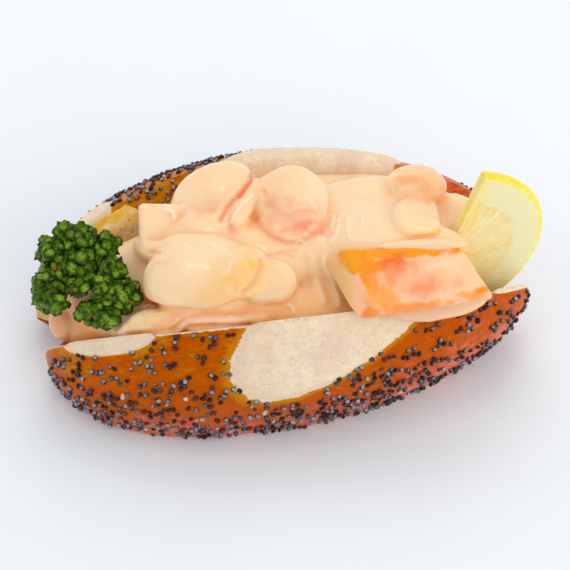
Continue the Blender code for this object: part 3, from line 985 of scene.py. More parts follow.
@dataclass
class PoppySeeds:
    """Poppy seeds pressed into the crust."""

    shape: RollShape
    throws: int = 6600
    radius: float = 0.74
    spacing: float = 1.42
    cell: float = 1.5
    off_ground: float = 0.9
    off_covers: float = 0.5
    seed: int = 11

    def kernel(self) -> tuple[Piece, Array]:
        """Models one kidney-shaped seed of radius 1 that lies along X.

        Returns:
            The seed and its vertices.
        """
        Piece.clear()
        bpy.ops.mesh.primitive_ico_sphere_add(subdivisions=2, radius=1)
        one = Piece("poppy_seeds")
        at = one.points()
        at[:, 0] *= 1.18
        at[:, 2] *= 0.82
        dent = np.exp(-((at[:, 0] / 0.45) ** 2)) * np.clip(at[:, 1], 0, 1)
        at[:, 1] -= 0.35 * dent
        one.move(at)
        return one, at

    def thickness(self, side: Side, t: float, phi: float) -> float:
        """How thickly the seeds lie at a place.

        Args:
            side: Which half.
            t: Place along the roll, from -1 to 1.
            phi: Angle round the section.

        Returns:
            A share from 0, bare, to 1, the thickest.
        """
        depth = float(self.shape.slash_depth(side, np.array(t), np.array(phi)))
        band = float(Bread.fold_over(side, np.array(t)))
        if phi < 0.03 and -phi * self.shape.arc > band - 0.8:
            return 0.0
        if depth > 0.02:
            return 0.0
        share = 0.30 + 0.30 * float(smooth_step(0.2, 1.5, phi)) + 0.4 * float(smooth_step(1.75, 2.0, phi))
        if depth > -0.15:
            share *= 0.4
        if side is Side.FAR:
            if phi < 1:
                share = max(share, 0.85 * float(smooth_step(-0.76, -0.68, t)))
            share *= 1 - 0.97 * float(smooth_step(0.02, 0.28, t))
        else:
            share *= 1 - 0.53 * float(smooth_step(0.2, 0.6, t)) - 0.38 * float(smooth_step(0.85, 0.97, t))
        return share * (1 - float(smooth_step(2.15, 2.4, phi)))

    def build(self, covers: list[Piece]) -> Piece:
        """Scatters the seeds.

        Args:
            covers: Pieces that hide the crust, which seeds keep clear of.

        Returns:
            All the seeds, as one piece.
        """
        draw = random.Random(self.seed)
        surfaces = Covers(covers)
        seeds, kernel = self.kernel()
        faces = seeds.faces()
        made, tones, painted_highlights, taken = [], [], [], {}
        for side, t, phi in self.darts(draw):
            centre, out = self.stand(side, t, phi)
            cell = tuple(np.floor(centre / (self.cell * MM)).astype(int))
            around = itertools.product(*((k - 1, k, k + 1) for k in cell))
            close = [other for key in around for other in taken.get(key, [])]
            if centre[2] < self.off_ground * MM or any(
                np.linalg.norm(centre - other) < self.spacing * MM for other in close
            ):
                continue
            if surfaces.near(Vector(centre), self.off_covers * MM):
                continue
            taken.setdefault(cell, []).append(centre)
            size = self.radius * draw.uniform(0.85, 1.12) * MM
            spin = Matrix.Rotation(draw.uniform(0, 2 * math.pi), 3, "Z")
            roll = Matrix.Rotation(draw.uniform(-0.5, 0.5), 3, "X")
            tip = Matrix.Rotation(draw.uniform(-0.9, 0.9), 3, "Y")
            lie = Vector(out).to_track_quat("Z", "Y").to_matrix() @ spin @ (roll @ tip)
            placed = kernel @ np.array(lie).T
            made.append(placed * size + centre + np.array(out) * size * draw.uniform(0.15, 0.6))
            dull = 0.5 if t > 0.25 and draw.random() < 0.65 else 1.0
            tones.append(np.full(len(kernel), draw.random() * dull))
            # How far each vertex faces up towards the light, for the painted highlight.
            painted_highlights.append(placed @ np.array((Vector(out) * 0.7 + Vector((0.1, -0.1, 1.0))).normalized()))
        LOG.info("poppy seeds: %d", len(made))
        seeds.repeat(made, faces)
        seeds.mark("tone", np.concatenate(tones))
        seeds.mark("top", np.concatenate(painted_highlights))
        seeds.smooth()
        seeds.hand_in(SeedFinish().make(), "roll")
        return seeds

    def darts(self, draw: random.Random) -> Iterable[tuple[Side, float, float]]:
        """Throws seeds at the crust, some in small clusters.

        Args:
            draw: Where the chances come from.

        Yields:
            The half, the place along it and the angle round it, for each seed.
        """
        for _ in range(self.throws):
            side = draw.choice((Side.NEAR, Side.FAR))
            t, phi = draw.uniform(-0.99, 0.99), draw.uniform(-0.28 if side is Side.FAR else 0.03, 2.4)
            if draw.random() > self.thickness(side, t, phi):
                continue
            yield side, t, phi
            for _ in range(draw.choice((1, 2, 2, 3) if t > 0.25 else (0, 0, 1, 1, 2))):
                angle = draw.uniform(0, 2 * math.pi)
                step = draw.uniform(self.spacing, 1.65)
                near_t = t + step * math.cos(angle) / self.shape.half_length
                near_phi = phi + step * math.sin(angle) / self.shape.arc
                if abs(near_t) < 0.98 and self.thickness(side, near_t, near_phi) > 0.02:
                    yield side, near_t, near_phi

    def stand(self, side: Side, t: float, phi: float) -> tuple[Array, Vector]:
        """Finds a place on the crust and its outward direction.

        Args:
            side: Which half.
            t: Place along the roll, from -1 to 1.
            phi: Angle round the section.

        Returns:
            The place and the direction.
        """
        step = 0.004
        ts, phis = np.array([t, t + step, t]), np.array([phi, phi, phi + step])
        if phi < 0:
            at = self.shape.cut(side, ts, 1 + phis * self.shape.arc / self.shape.cut_length(ts))
            at[:, 1] -= side.value * Bread.shoulder(side, ts, -phis * self.shape.arc) * MM
        else:
            depth = self.shape.slash_depth(side, ts, phis)
            at = self.shape.crust(side, ts, phis, self.shape.slash_rise * smooth_step(0.0, 0.3, depth))
        out = np.cross(at[1] - at[0], at[2] - at[0]) * side.value
        return at[0], Vector(out).normalized()


# ---------------------------------------------------------------------------------------------
# The filling
# ---------------------------------------------------------------------------------------------


# A plane that faces up and to the front, in which flat pieces and strokes are laid.
FRONT_OUT = np.array((-0.093, -0.636, 0.766))
FRONT_RIGHT = np.array((0.990, -0.144, 0.0))
FRONT_UP = np.cross(FRONT_OUT, FRONT_RIGHT)
# Discs and lines reach no deeper than this below that plane, in millimetres.
DEEPEST = 12
# Painted highlights: the sauce's colour where it catches the light.
PAINTED_SHINE = (1.0, 0.92, 0.78)
PAINTED_SHINE_DULL = (1.0, 0.92, 0.76)


@dataclass(frozen=True)
class Spot:
    """A soft-edged patch of colour: an egg-shaped region in millimetres, turned about Z in degrees."""

    middle: Triple
    reach: Triple
    colour: Colour
    strength: float = 1.0
    soft: float = 0.5
    ragged: float = 0.25
    turn: float = 0.0


@dataclass(frozen=True)
class Disc:
    """A flat piece of surimi that stands out of the sauce, seen as an oval from above the front.

    It lies over the discs before it. The half sizes, the height, the softness of its edge and the width
    of its rim are in millimetres, and it is turned in degrees. The rim's colour is strongest towards
    rim_angle.
    """

    middle: Triple
    reach: tuple[float, float]
    turn: float = 0.0
    height: float = 0.8
    edge: float = 0.9
    power: float = 2.2
    dome: float = 0.0
    rim: Colour | None = None
    rim_width: float = 0.7
    rim_angle: float = -90.0
    rim_spread: float = 1.0
    rim_strength: float = 0.6
    body: Colour | None = None
    body_strength: float = 0.4


@dataclass(frozen=True)
class Line:
    """A ridge or a groove between two places, in millimetres, that may carry a colour."""

    start: Triple
    end: Triple
    width: float = 1.0
    height: float = 0.4
    colour: Colour | None = None
    strength: float = 0.7
    bend: float = 0.0


@dataclass(frozen=True)
class Relief:
    """Everything that stands out on a coated surface, and the colours that show through the coat.

    The valley and crease shades are painted shade that darkens the hollows towards orange. Each has smoothing
    steps, the depth in millimetres at which its colour is full, and how strong it then is.
    """

    ground: Colour
    spots: tuple[Spot, ...] = ()
    discs: tuple[Disc, ...] = ()
    lines: tuple[Line, ...] = ()
    painted_valley_shade: tuple[int, float, float, Colour] = (260, 1.4, 0.50, (0.98, 0.50, 0.20))
    painted_crease_shade: tuple[int, float, float, Colour] = (30, 0.35, 0.6, (0.95, 0.38, 0.13))

    @staticmethod
    def axes(turn: float) -> tuple[Array, Array, Array]:
        """The two directions across the front plane, turned in degrees, and the one out of it."""
        c, s = math.cos(math.radians(turn)), math.sin(math.radians(turn))
        return FRONT_RIGHT * c + FRONT_UP * s, FRONT_UP * c - FRONT_RIGHT * s, FRONT_OUT

    def raise_lobes(self, piece: Piece) -> None:
        """Raises the discs on a piece.

        Args:
            piece: The piece.
        """
        at = piece.points()
        facing = self.facing(piece)
        shift = wobble(at, 5 * MM, 9.0)
        heights = np.zeros(len(at))
        for disc in self.discs:
            size, inward, shown = self.inside(at, disc, shift, facing)
            if disc.height + disc.dome > 0:
                share = smooth_step(-disc.edge, disc.edge, inward) * shown
                top = disc.height + disc.dome * np.sqrt(np.clip(1 - size * size, 0, 1))
                heights += (top - heights) * share
        piece.swell(heights * MM)

    def dress(self, piece: Piece) -> None:
        """Raises the lines on a piece and stores its colours, with painted shade in its hollows, as its tint.

        Args:
            piece: The piece.
        """
        at = piece.points()
        facing = self.facing(piece)
        shift = wobble(at, 5 * MM, 9.0)
        ragged = shift + 0.8 * wobble(at, 1.6 * MM, 12.0)
        heights = np.zeros(len(at))
        colours = np.tile(np.array(self.ground), (len(at), 1))
        for disc in self.discs:
            _, inward, shown = self.inside(at, disc, shift, facing)
            if disc.body is not None:
                share = disc.body_strength * smooth_step(-0.5, 2.0, inward) * shown
                colours += (np.array(disc.body) - colours) * share[:, None]
        colours = paint(at, colours, self.spots)
        for disc in self.discs:
            if disc.rim is not None:
                _, inward, shown = self.inside(at, disc, shift, facing)
                right, up, _ = self.axes(disc.turn)
                away = at / MM - np.array(disc.middle)
                angle = np.degrees(np.arctan2(away @ up / disc.reach[1], away @ right / disc.reach[0]))
                turned = np.cos(np.radians(angle - disc.rim_angle))
                toward = (0.5 + 0.5 * turned) ** (2 / max(disc.rim_spread, 0.05))
                share = np.exp(-((inward / disc.rim_width) ** 2)) * disc.rim_strength * toward * shown
                colours += (np.array(disc.rim) - colours) * share[:, None]
        for line in self.lines:
            away, deep = self.from_line(at, line, ragged)
            near = np.exp(-((away / line.width) ** 2)) * facing * (np.abs(deep) < DEEPEST)
            heights += line.height * near
            if line.colour is not None:
                colours += (np.array(line.colour) - colours) * (near * line.strength)[:, None]
        piece.swell(heights * MM)
        # Painted shade: the hollows are darkened towards orange.
        for spread, depth, share, tone in (self.painted_valley_shade, self.painted_crease_shade):
            hollow_shade = np.clip(self.hollows(piece, spread) / depth, 0, 1) * share
            colours = np.minimum(colours, colours + (np.array(tone) - colours) * hollow_shade[:, None])
        piece.mark("tint", np.clip(colours, 0, 1))

    @staticmethod
    def hollows(piece: Piece, spread: int) -> Array:
        """How far a piece's hollows lie below the surface round them.

        Args:
            piece: The piece.
            spread: How many smoothing steps make the surface round them.

        Returns:
            A depth in millimetres at each vertex.
        """
        before, out = piece.points(), piece.normals()
        piece.apply("SMOOTH", iterations=spread, factor=0.5)
        level = np.einsum("ij,ij->i", piece.points() - before, out) / MM
        piece.move(before)
        return level

    @staticmethod
    def facing(piece: Piece) -> Array:
        """1 where a piece faces up and to the front, and 0 where it faces away."""
        return smooth_step(-0.1, 0.2, piece.normals() @ FRONT_OUT)

    def inside(
        self, at: Array, disc: Disc, shift: Array, facing: Array
    ) -> tuple[Array, Array, Array]:
        """Where places lie on a disc.

        Args:
            at: Places in metres, one per row.
            disc: The disc.
            shift: Random shifts for the places.
            facing: 1 where the surface faces up and to the front.

        Returns:
            The distance from its middle, 1 at its rim; how far inside the rim, in millimetres; and 1 where
            the disc may show.
        """
        a, b, deep = self.local(at, disc.middle, disc.turn, shift, 0.55)
        power = disc.power
        size = (np.abs(a / disc.reach[0]) ** power + np.abs(b / disc.reach[1]) ** power) ** (1 / power)
        return size, (1 - size) * min(disc.reach), facing * (np.abs(deep) < DEEPEST)

    def local(
        self, at: Array, middle: Triple, turn: float, shift: Array, ragged: float
    ) -> tuple[Array, Array, Array]:
        """Places seen from above the front, in millimetres from a middle.

        Args:
            at: Places in metres, one per row.
            middle: Where to measure from.
            turn: How far the two directions are turned, in degrees.
            shift: Random shifts for the places.
            ragged: How strong they are, in millimetres.

        Returns:
            The distances along the two directions, and in depth.
        """
        right, up, out = self.axes(turn)
        away = at / MM - np.array(middle) + shift * ragged
        return away @ right, away @ up, away @ out

    def from_line(self, at: Array, line: Line, shift: Array) -> tuple[Array, Array]:
        """How far places are from a line, seen from above the front.

        Args:
            at: Places in metres, one per row.
            line: The line.
            shift: Random shifts for the places.

        Returns:
            The distance across, and the difference in depth, in millimetres.
        """
        a, b, deep = self.local(at, line.start, 0.0, shift, 0.25)
        right, up, out = self.axes(0.0)
        span = np.array(line.end) - np.array(line.start)
        run = np.array((span @ right, span @ up))
        length = float(np.hypot(*run))
        u = (a * run[0] + b * run[1]) / length
        v = (b * run[0] - a * run[1]) / length
        share = np.clip(u / length, 0, 1)
        v = v - line.bend * 4 * share * (1 - share)
        return np.hypot(v, u - share * length), deep - share * float(span @ out)


def paint(points: Array, ground: Array, spots: Sequence[Spot]) -> Array:
    """Colours a set of points.

    Args:
        points: Places in metres, one per row.
        ground: The colours before any spot.
        spots: The patches, each over the ones before it.

    Returns:
        A colour for each point.
    """
    colours = ground.copy()
    shift = wobble(points, 3.2 * MM, 5.0) + 0.5 * wobble(points, 1.4 * MM, 6.0)
    for spot in spots:
        away = points / MM - np.array(spot.middle)
        turn = math.radians(spot.turn)
        x = away[:, 0] * math.cos(turn) + away[:, 1] * math.sin(turn)
        y = away[:, 1] * math.cos(turn) - away[:, 0] * math.sin(turn)
        scaled = np.stack([x, y, away[:, 2]], axis=1) / np.array(spot.reach) + shift * spot.ragged
        distance = np.linalg.norm(scaled, axis=1)
        share = spot.strength * (1 - smooth_step(1 - spot.soft, 1 + spot.soft, distance))
        colours += (np.array(spot.colour) - colours) * share[:, None]
    return colours


@dataclass(frozen=True)
class SauceFinish:
    """Thick, glossy, pale pink sauce, with what lies under it showing through as colour."""

    name: str
    depth: float = 2.2
    soft: float = 0.3
    gloss: float = 1.0

    def make(self) -> bpy.types.Material:
        """Builds the finish.

        Returns:
            The material. It reads the piece's tint, which also holds painted shade and painted highlights.
        """
        g = Graph(self.name)
        tint = g.read("tint", "Color")
        cloud = g.span(g.noise(5, 3), 0.35, 0.65, 0.0, 0.18)
        tint = g.blend(cloud, tint, (1.0, 0.90, 0.72), "MULTIPLY")
        speck = g.span(g.cells(2.7), 0.0, 0.085, 0.7, 0.0)
        g.set(
            Base_Color=g.blend(speck, tint, (0.80, 0.26, 0.06)),
            Roughness=0.30,
            Subsurface_Weight=self.soft,
            Subsurface_Radius=(1.0, 0.45, 0.22),
            Subsurface_Scale=self.depth * MM,
            Specular_IOR_Level=0.5 * self.gloss,
            Coat_Weight=0.38 * self.gloss,
            Coat_Roughness=0.12,
            Normal=g.bump(g.noise(2.4, 2), 0.18, 0.6),
        )
        return g.material


@dataclass
class SurimiSalad:
    """Pieces of surimi under one thick coat of sauce. Sizes in millimetres."""

    coarse: float = 0.8
    fine: float = 0.52
    sauce: Colour = (0.99, 0.65, 0.37)
    masses: dict[str, tuple[Triple, ...]] = field(
        default_factory=lambda: {
            "bed": ((-2, -1, 28), (64, 20, 15)),
            "far_bed": ((7, 14.5, 32), (46, 14, 10.5)),
            "left_bed": ((-49, -3, 28), (17, 12, 10)),
            "front_bed": ((-8, -20, 31), (36, 10, 8)),
            "right_bed": ((41, 0, 30), (19, 13, 9)),
            "back_left": ((-19, 13.5, 45), (14, 9.5, 9), (0, -18, 14)),
            "back_left_top": ((-13.5, 17, 45.7), (8, 7, 8)),
            "crescent": ((-11.5, 5, 49), (9.5, 3.8, 5), (0, -33, 43)),
            "round_slice": ((3, 5, 47.5), (10.2, 11.6, 8), (40, 0, 0)),
            "smooth_sheet": ((23, 3, 39.6), (19, 14.5, 8.6), (25, 0, 0)),
            "before_slab": ((24, -6, 41), (22, 14, 9.5)),
            "back_right": ((39, 9, 44), (9, 7.5, 7), (20, 0, 0)),
            "small_right": ((36.5, -3.5, 44), (6.2, 6, 5.6), (30, 0, 0)),
            "big_left": ((-26, -14.5, 42), (14.5, 10.5, 8.5), (40, 0, 0)),
            "yellow_lobe": ((-16.6, -19.5, 45), (9.8, 6.2, 6.5), (0, -24, 23)),
            "pale_lobe": ((-8, -18, 42), (9.4, 6, 5.5), (20, 0, 0)),
            "front_left": ((-48, -16.5, 30), (10, 5, 4.5), (0, -12, 0)),
            "front_middle": ((-31, -21.5, 33.5), (14, 5, 4), (0, -6, 0)),
            "under_lemon": ((50, 3, 36.5), (10.5, 9, 6.5), (0, 8, 0)),
            "left_gap": ((-57, -11, 22), (9, 7, 6)),
            "between": ((-18, -3, 45), (13, 7, 6), (25, 0, 0)),
            "under_slab": ((34, -18, 35), (20, 11, 8)),
            "left_sheet": ((-31, 1, 41.5), (12, 9, 6.5), (25, 0, 0)),
            "middle_sheet": ((-1, -8, 43), (20, 9, 5.5), (20, 0, 0)),
            "behind_slab": ((27, -11, 47), (16, 7, 5), (0, 0, -5)),
            "lip": ((39, -13.6, 46.8), (12, 5.6, 4.0), (20, 0, -5)),
        }
    )
    drops: dict[str, tuple[Triple, ...]] = field(
        default_factory=lambda: {
            "left_end": ((-64, -8, 23), (5.2, 5.4, 5.6)),
            "overhang": ((38, -28.6, 38.8), (15, 5.2, 2.8), (20, 0, 3)),
            "film": ((36.0, -17.5, 50.3), (12.5, 1.8, 1.2), (40, -2, -7)),
        }
    )
    corner: tuple[Triple, ...] = ((-33.9, 2.5, 46.3), (7.0, 6.9, 2.0), (37.0, 13, 2.0))
    corner_rounding: float = 0.14
    lobes: tuple[Disc, ...] = (
        Disc((-18.6, 7.8, 52.2), (12.5, 10.2), 25, 0.8, 2.6, 2.3, 0.9, body=(0.99, 0.66, 0.38)),
        Disc(
            (1.8, 0.6, 53.9), (10.4, 11.1), 0, 1.0, 0.5, 2.1, 1.2, (0.93, 0.30, 0.14), 0.6, -85, 0.8, 0.65,
            (0.98, 0.62, 0.36), 0.7,
        ),
        Disc((1.8, 0.6, 53.9), (10.4, 11.1), 0, 0, 0.6, 2.1, 0, (0.95, 0.46, 0.32), 0.35, 60, 3.0, 0.6),
        Disc(
            (-11.1, 2.6, 53.3), (2.6, 8.2), -22, 1.1, 0.7, 2.2, 0.7, (0.94, 0.28, 0.16), 0.45, -110, 0.5, 0.8
        ),
        # The lump on the right: its orange rim towards the right is painted shade.
        Disc((39.0, 5.9, 50.0), (8.0, 5.3), -5, 1.3, 0.9, 2.2, 0.9, (0.97, 0.44, 0.18), 1.2, 10, 0.8, 0.6),
        Disc(
            (36.4, -5.9, 48.8), (6.4, 5.2), 0, 1.3, 0.55, 3, 0.5, (0.97, 0.42, 0.05), 0.55, -65, 0.5, 0.9,
            (0.99, 0.68, 0.32), 0.6,
        ),
        Disc((51.8, 1.6, 40.8), (4.8, 6.2), 0, 0.8, 0.9),
        # The pale lobe at the front: its brown rim at the bottom is painted shadow beneath it.
        Disc(
            (-8.4, -20.6, 46.1), (7.8, 5.5), -4, 1.5, 0.55, 2.4, 1.5, (0.74, 0.42, 0.18), 0.7, -90, 1.0, 0.7,
            (0.80, 0.55, 0.31), 0.8,
        ),
        Disc(
            (-27.5, -17.3, 50.2), (15.2, 9.7), 0, 2.0, 0.8, 2.3, 1.4, (0.90, 0.48, 0.30), 0.6, -100, 0.7, 0.5,
            (0.99, 0.69, 0.42), 0.8,
        ),
        Disc((-37.4, -5.2, 46.2), (5.4, 2.7), -22, 2.4, 0.9, 2, 0.5, (0.96, 0.46, 0.08), 0.6, -100, 1.0, 0.6),
        Disc(
            (-15.4, -20.8, 50.4), (6.6, 4.7), 33, 3.15, 0.6, 2.2, 0.35, (0.97, 0.50, 0.20), 0.5, -30, 0.8, 0.5
        ),
        Disc(
            (-37.9, -22.6, 36.2), (8.4, 3.2), 4, 1.6, 0.5, 2.2, 1.0, (0.90, 0.40, 0.20), 0.4, -90, 1, 0.6,
            (0.93, 0.55, 0.27), 0.8,
        ),
        Disc(
            (-23.1, -25.8, 36.9), (7.8, 2.7), 3, 1.4, 0.4, 3, 0.7, (0.92, 0.36, 0.18), 0.4, -90, 1.0, 0.7,
            (0.98, 0.60, 0.38), 0.7,
        ),
        Disc(
            (-47.0, -21.0, 31.5), (4.2, 2.4), 10, 1.5, 0.5, 2.2, 0.8, body=(0.96, 0.70, 0.46),
            body_strength=0.7,
        ),
        Disc(
            (-12.0, -25.8, 37.5), (3.8, 1.8), 8, 1.0, 0.4, 2.2, 0.5, body=(0.98, 0.60, 0.34),
            body_strength=0.6,
        ),
    )
    spots: tuple[Spot, ...] = (
        # Painted shade: the recess along the front is darker orange.
        Spot((6, -25, 36), (22, 6, 6), (0.97, 0.53, 0.18), 0.85, 0.5),
        Spot((20, 1, 50), (15, 13, 9), (0.99, 0.73, 0.46), 0.75, 0.8),
        Spot((-30, 3, 47), (10, 9, 6), (0.99, 0.72, 0.46), 0.6, 0.8),
        Spot((-30, -26, 33.5), (24, 4, 2.5), (0.93, 0.45, 0.20), 0.6, 0.5),
        Spot((-62, -10, 24), (11, 11, 11), (0.74, 0.32, 0.13), 0.9, 0.5),
        Spot((-39.2, -15.6, 38.2), (4.0, 4.2, 4.4), (0.66, 0.085, 0.002), 1.0, 0.2, 0.15),
        Spot((-57, -15.5, 28), (4.6, 4.0, 5.0), (0.92, 0.38, 0.06), 0.8, 0.5),
        Spot((38, -31, 38.8), (17, 5, 3.4), (0.80, 0.50, 0.30), 0.85, 0.4),
        Spot((-17.4, -22.4, 49.4), (10.0, 5.0, 6.0), (0.99, 0.58, 0.21), 0.7, 0.9, 0.5, 25),
        Spot((-13.4, -20.8, 50.4), (5.6, 3.0, 5.0), (0.99, 0.50, 0.06), 0.8, 0.9, 0.7, 30),
        Spot((-20, -24.5, 47), (9.0, 4.0, 3.0), (0.99, 0.54, 0.18), 0.7, 0.7, 0.5),
        Spot((-43, -19.5, 36.5), (5.5, 3.6, 4), (0.97, 0.66, 0.34), 0.7, 0.7, 0.6),
        Spot((-37.0, -24.6, 37.0), (3.4, 1.8, 3), (0.84, 0.30, 0.09), 0.7, 0.7, 0.9),
        Spot((-46.0, -23.6, 33.0), (3.0, 1.3, 2.5), (0.62, 0.20, 0.04), 0.7, 0.6, 0.9),
        Spot((-51.0, -21.5, 30.5), (2.0, 1.1, 2.5), (0.60, 0.18, 0.03), 0.7, 0.6, 0.9),
        Spot((-29.0, -24.6, 38.6), (4.0, 1.2, 2), (0.96, 0.48, 0.36), 0.6, 0.7, 0.9),
        Spot((-10, 1.0, 46), (3.5, 2.5, 4), (0.95, 0.40, 0.12), 0.7, 0.7),
        Spot((-20, 4, 49), (5, 2.5, 4), (0.95, 0.46, 0.30), 0.45, 0.7, 0.8),
        Spot((2, -3.0, 50.6), (8.0, 4.4, 4.5), (0.93, 0.42, 0.24), 0.7, 0.7, 0.8),
        Spot((6.5, -6.5, 49.5), (4.0, 1.7, 3), (0.86, 0.20, 0.08), 0.7, 0.7, 0.9),
        Spot((1, -7, 49.5), (4.2, 1.4, 3), (0.88, 0.28, 0.12), 0.5, 0.7, 0.9),
        Spot((-3, 2, 52), (2.2, 3.5, 3), (0.93, 0.36, 0.14), 0.7, 0.6, 1.0),
        Spot((-9.6, -1.5, 48), (2.2, 2.6, 3), (0.93, 0.36, 0.06), 0.8, 0.5, 0.6),
        Spot((39.5, 5.0, 50), (8, 5.5, 5), (0.98, 0.54, 0.25), 0.7, 0.7, 0.5),
        Spot((37.5, 6.8, 50.4), (4.2, 1.5, 3), (0.92, 0.34, 0.11), 0.65, 0.7, 0.9),
        Spot((41.0, 4.4, 50), (3.0, 2.0, 3), (0.93, 0.38, 0.13), 0.5, 0.8, 0.9),
        # Painted shade down the right side of the lump on the right.
        Spot((45.4, 4.2, 46), (2.4, 5, 5), (0.95, 0.48, 0.22), 0.55, 0.7, 0.3),
    )
    strokes: tuple[Line, ...] = (
        Line((-8.9, -16.2, 50.4), (-14.6, -22.4, 45.4), 0.9, -0.7, (0.93, 0.46, 0.18), 0.8, 1.3),
        Line((-6.2, 16.7, 51), (-12, 6, 53), 0.85, -0.7, (0.92, 0.17, 0.03), 1.0, 0.5),
        Line((-12, 6, 53), (-18, 0.4, 50), 0.8, -0.5, (0.92, 0.26, 0.10), 0.9, -0.5),
        # Painted highlight along the crescent.
        Line((-8.3, 4.6, 54), (-15.4, -0.8, 49.6), 0.30, 0.20, (1.0, 0.90, 0.76), 0.6, -0.6),
        Line((-38.4, -4.7, 45.9), (-35.6, -7, 47), 0.45, -0.2, (0.95, 0.36, 0.03), 0.9, 0.2),
        Line((-7.9, -10.2, 44.2), (0.4, -10.7, 44.2), 0.8, -0.3, (0.80, 0.46, 0.36), 0.45, 0.8),
        Line((-3.0, -9.0, 44.2), (2.0, -9.2, 44.2), 0.4, -0.2, (0.74, 0.44, 0.38), 0.4, 0.4),
        # Painted highlights on the drips down the sheet.
        Line((13.6, -0.3, 47.7), (12.3, -4.4, 47.8), 0.3, 0.35, PAINTED_SHINE, 0.45, 0.3),
        Line((14.5, -2.9, 48.2), (11.1, -10, 47), 0.33, 0.35, PAINTED_SHINE, 0.4, 0.6),
        Line((17.6, -3.2, 48.9), (16.2, -10.3, 48.9), 0.3, 0.35, PAINTED_SHINE, 0.5, -0.3),
        Line((21.5, -3.3, 49.3), (20.4, -6.2, 49.3), 0.3, 0.30, PAINTED_SHINE, 0.4, 0.3),
        Line((25.0, -4.3, 49.3), (24.0, -9.2, 49.3), 0.8, 0.25),
        Line((-5.6, 6.1, 54.1), (-4.2, 3.8, 52.3), 0.5, -0.15, (0.95, 0.46, 0.18), 0.7, 0.3),
        Line((-4.2, 3.0, 51.8), (-0.5, 0.0, 49.6), 0.5, 0.0, (0.92, 0.40, 0.26), 0.5, 0.3),
        Line((-0.5, 0.0, 49.6), (4.3, 0.0, 50.2), 0.45, 0.0, (0.92, 0.40, 0.26), 0.5, -0.4),
        Line((4.3, 0.0, 50.2), (8.4, -1.4, 50.4), 0.5, 0.0, (0.92, 0.38, 0.20), 0.5, 0.4),
        Line((9.1, -14, 44), (11.6, -23.5, 37), 1.0, 0.7, (0.98, 0.74, 0.46), 0.4, 0.5),
        Line((5.9, -12.2, 44.2), (7.5, -23, 38), 1.1, 0.7, (0.96, 0.66, 0.36), 0.4, -0.5),
        # Painted highlight.
        Line((-32.5, 8.0, 47.5), (-30.5, 5.0, 47.5), 0.5, 0.5, (1.0, 0.90, 0.74), 0.6, 0.8),
        Line((-42.5, -17.5, 37.6), (-39.0, -19.2, 38.6), 0.3, 0.35, PAINTED_SHINE, 0.6, 0.4),
        Line((-39.5, -20.8, 38.0), (-36.8, -21.6, 38.6), 0.3, 0.30, PAINTED_SHINE, 0.5, -0.4),
        Line((-19.5, -25.6, 38.6), (-17.4, -26.4, 38.2), 0.3, 0.30, PAINTED_SHINE, 0.5, 0.5),
        # Painted highlight.
        Line((-2.5, -23.6, 39.2), (-1.6, -26.0, 38.0), 0.35, 0.35, (1.0, 0.90, 0.74), 0.5, 0.5),
        Line((-22, -8.5, 51), (-20.4, -10.8, 51), 0.3, 0.35, PAINTED_SHINE_DULL, 0.5),
        Line((-29.5, -7.5, 51), (-26.6, -11.2, 51), 0.3, 0.35, PAINTED_SHINE_DULL, 0.5, 0.3),
        Line((-8.5, -5.8, 45), (-6.6, -8.2, 45), 0.3, 0.3, PAINTED_SHINE_DULL, 0.5),
        Line((2.0, -7.0, 45), (4.6, -7.6, 45), 0.3, 0.35, PAINTED_SHINE_DULL, 0.5, 0.9),
        # Painted highlights on the yellow lobe's ridges.
        Line((-17.5, -18, 52), (-19.5, -21.5, 52), 0.5, 0.3, (1.0, 0.88, 0.62), 0.35, 0.4),
        Line((-14.0, -17.5, 52), (-13.0, -21, 52), 0.4, 0.3, (1.0, 0.86, 0.55), 0.3, 0.4),
        Line((-47.5, -20.8, 35.1), (-40.3, -19.7, 36.9), 1.5, 0.8, (0.92, 0.66, 0.40), 0.8, 0.3),
        Line((-40.5, -21.2, 36.0), (-36.2, -20.4, 36.9), 1.8, 0.9, (0.93, 0.60, 0.28), 0.9, 0.2),
        Line((-34.8, -23.9, 34.0), (-30.5, -21.9, 36.2), 0.7, -0.6, (0.70, 0.27, 0.08), 0.8, 0.2),
        Line((-30.0, -22.2, 36.4), (-15.0, -24.7, 35.8), 1.5, 0.9, (0.97, 0.56, 0.36), 0.7, 0.3),
        Line((-29.7, -23.8, 34.8), (-13.7, -25.7, 35.1), 0.6, -0.7, (0.85, 0.34, 0.10), 0.7, 0.2),
        Line((-47, -23, 33.3), (-22.8, -24.6, 34.9), 0.7, -0.4, (0.78, 0.30, 0.04), 0.7),
    )

    def build(self) -> Piece:
        """Builds the salad.

        Returns:
            The finished piece.
        """
        eggs = [Piece.egg(name, *lump) for name, lump in self.masses.items()]
        salad = eggs[0]
        salad.join(eggs[1:])
        salad.object.name = "surimi_in_sauce"
        salad.apply("REMESH", mode="VOXEL", voxel_size=self.coarse * MM)
        self.flood(salad)
        relief = Relief(self.sauce, self.spots, self.lobes, self.strokes)
        relief.raise_lobes(salad)
        salad.join([Piece.egg(name, *lump) for name, lump in self.drops.items()])
        salad.join([Piece.block("corner", *self.corner, self.corner_rounding)])
        salad.apply("REMESH", mode="VOXEL", voxel_size=self.fine * MM)
        salad.apply("SMOOTH", iterations=3, factor=0.5)
        at = salad.points()
        salad.swell((waves(at, 9 * MM, 7.0) * 0.30 + waves(at, 4 * MM, 8.0) * 0.15) * MM)
        relief.dress(salad)
        salad.smooth()
        salad.hand_in(SauceFinish("pink_sauce").make(), "surimi_salad")
        return salad

